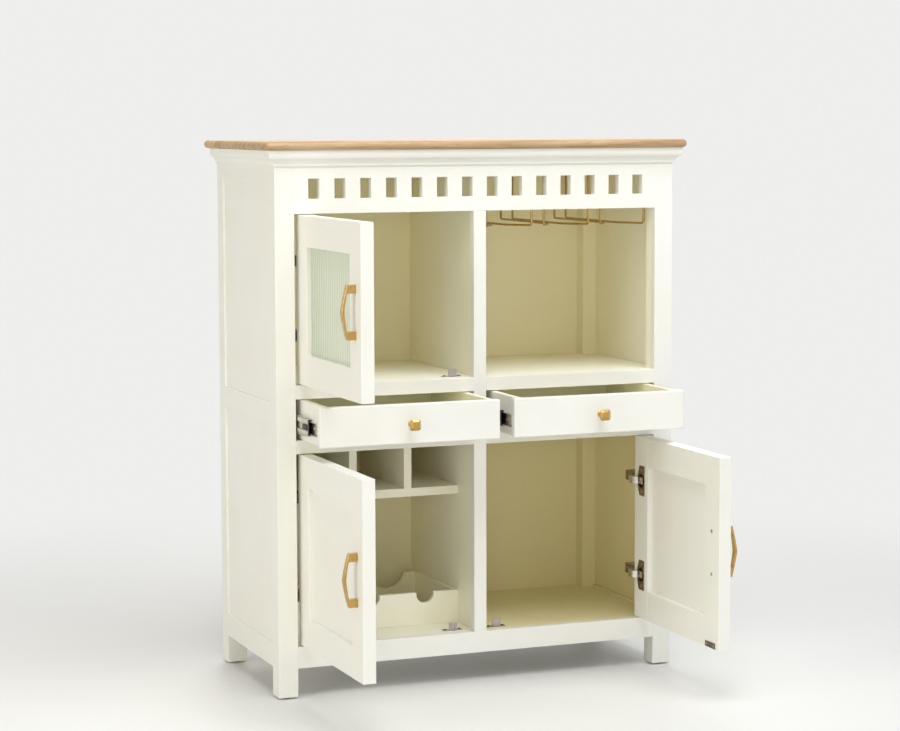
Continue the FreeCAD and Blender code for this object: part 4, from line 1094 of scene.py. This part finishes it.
def racks(m):
    for name, x in RACKS.items():
        shape = Shape()
        for side in (-1, 1):
            near, far = x + side * RACK_NEAR, x + side * RACK_FAR
            points = [(near, RACK_REAR, RACK_TOP), (near, RACK_REAR, RACK_LEVEL),
                      (near, RACK_BEND, RACK_LEVEL), (far, RACK_TIP, RACK_LEVEL),
                      (far, RACK_TIP, RACK_TOP)]
            shape.tube(rounded(points, RACK_BENDS), WIRE_RADIUS)
        shape.done(f"stemware_rack_{name}_piece", m["wire"], "carcass", "brass",
                   [f"stemware_rack_{name}"], angle=60)


# Floor and light

BACKGROUND = (0.86, 0.86, 0.85)
FLOOR_HALF = 14
FLOOR_FADE_START = 0.75
FLOOR_FADE_END = 2.6
SKY_COLOUR = (1, 1, 0.98)
SKY = 0.32
LAMP_TARGET = (0, 0, 0.6)
# Place, size, power and colour
LAMPS = {
    "key": ((3.0, -4.0, 2.6), (2.2, 2.0), 25, (0.82, 0.93, 1)),
    "left": ((-4.6, -1.9, 2.0), (2.4, 2.4), 74, (1, 0.96, 0.77)),
    "front_left": ((-2.2, -5.9, 1.2), (1.8, 1.4), 35, (1, 0.93, 0.70)),
    "above": ((0, -1.8, 4.2), (3, 3), 144, (0.97, 0.98, 1)),
    "rear": ((1.8, 4.6, 2.2), (2.6, 2.4), 55, (1, 0.99, 0.96)),
}


def seen_rays(t):
    """1 for rays that see the background: camera, glossy and transmission rays."""
    rays = t.add("LightPath").outputs
    return t.math("MAXIMUM", rays["Is Camera Ray"],
                  t.math("MAXIMUM", rays["Is Glossy Ray"], rays["Is Transmission Ray"]))


def add_stage():
    """A pale floor that fades into the background away from the cabinet."""
    t = new_material("floor")
    tone = t.noise(3, (1, 1, 1), 2)
    t.set(Base_Color=t.mix(tone, (0.78, 0.775, 0.76), (0.81, 0.805, 0.79)), Roughness=0.6)
    x, y, _ = t.axes()
    away = t.math("SQRT", t.math("ADD", t.times(x, x), t.times(y, y)))
    fade = t.add("MapRange", {"interpolation_type": "SMOOTHSTEP"}, Value=away,
                 From_Min=FLOOR_FADE_START, From_Max=FLOOR_FADE_END).outputs[0]
    glow = t.add("Emission", Color=rgba(BACKGROUND)).outputs[0]
    mixed = t.add("MixShader", i0=t.times(fade, seen_rays(t)), i1=t.shader.outputs[0],
                  i2=glow).outputs[0]
    t.put(t.tree.nodes["Material Output"].inputs[0], mixed)
    mesh = bpy.data.meshes.new("floor")
    half = FLOOR_HALF
    mesh.from_pydata([(-half, -half, 0), (half, -half, 0), (half, half, 0), (-half, half, 0)],
                     [], [(0, 1, 2, 3)])
    mesh.materials.append(t.owner)
    floor = bpy.data.objects.new("floor", mesh)
    bpy.context.scene.collection.objects.link(floor)


def add_lamp(name, place, size, power, colour):
    data = bpy.data.lights.new(name, "AREA")
    data.shape = "RECTANGLE"
    data.size, data.size_y = size
    data.energy = power
    data.color = colour
    lamp = bpy.data.objects.new(name, data)
    bpy.context.scene.collection.objects.link(lamp)
    lamp.location = place
    aim = Vector(LAMP_TARGET) - Vector(place)
    lamp.rotation_euler = aim.to_track_quat("-Z", "Y").to_euler()


def add_world():
    """A dim sky that lights the object, and the background that is seen."""
    world = bpy.data.worlds.new("studio")
    bpy.context.scene.world = world
    t = Tree(world)
    sky = t.tree.nodes["Background"]
    t.put(sky.inputs[0], rgba(SKY_COLOUR))
    t.put(sky.inputs[1], SKY)
    seen = t.add("Background", Color=rgba(BACKGROUND), Strength=1).outputs[0]
    mixed = t.add("MixShader", i0=seen_rays(t), i1=sky.outputs[0], i2=seen).outputs[0]
    t.put(t.tree.nodes["World Output"].inputs[0], mixed)


add_camera()
bpy.context.scene.view_settings.view_transform = "Standard"
materials = make_materials()
for make in (top_board, cornice, handles, flutes, knobs, racks, hinge_cups, hinge_links,
             hinge_arms, catches, slides):
    make(materials)
dress_rest(materials)
add_stage()
for lamp_name, lamp_values in LAMPS.items():
    add_lamp(lamp_name, *lamp_values)
add_world()

bpy.context.view_layer.update()
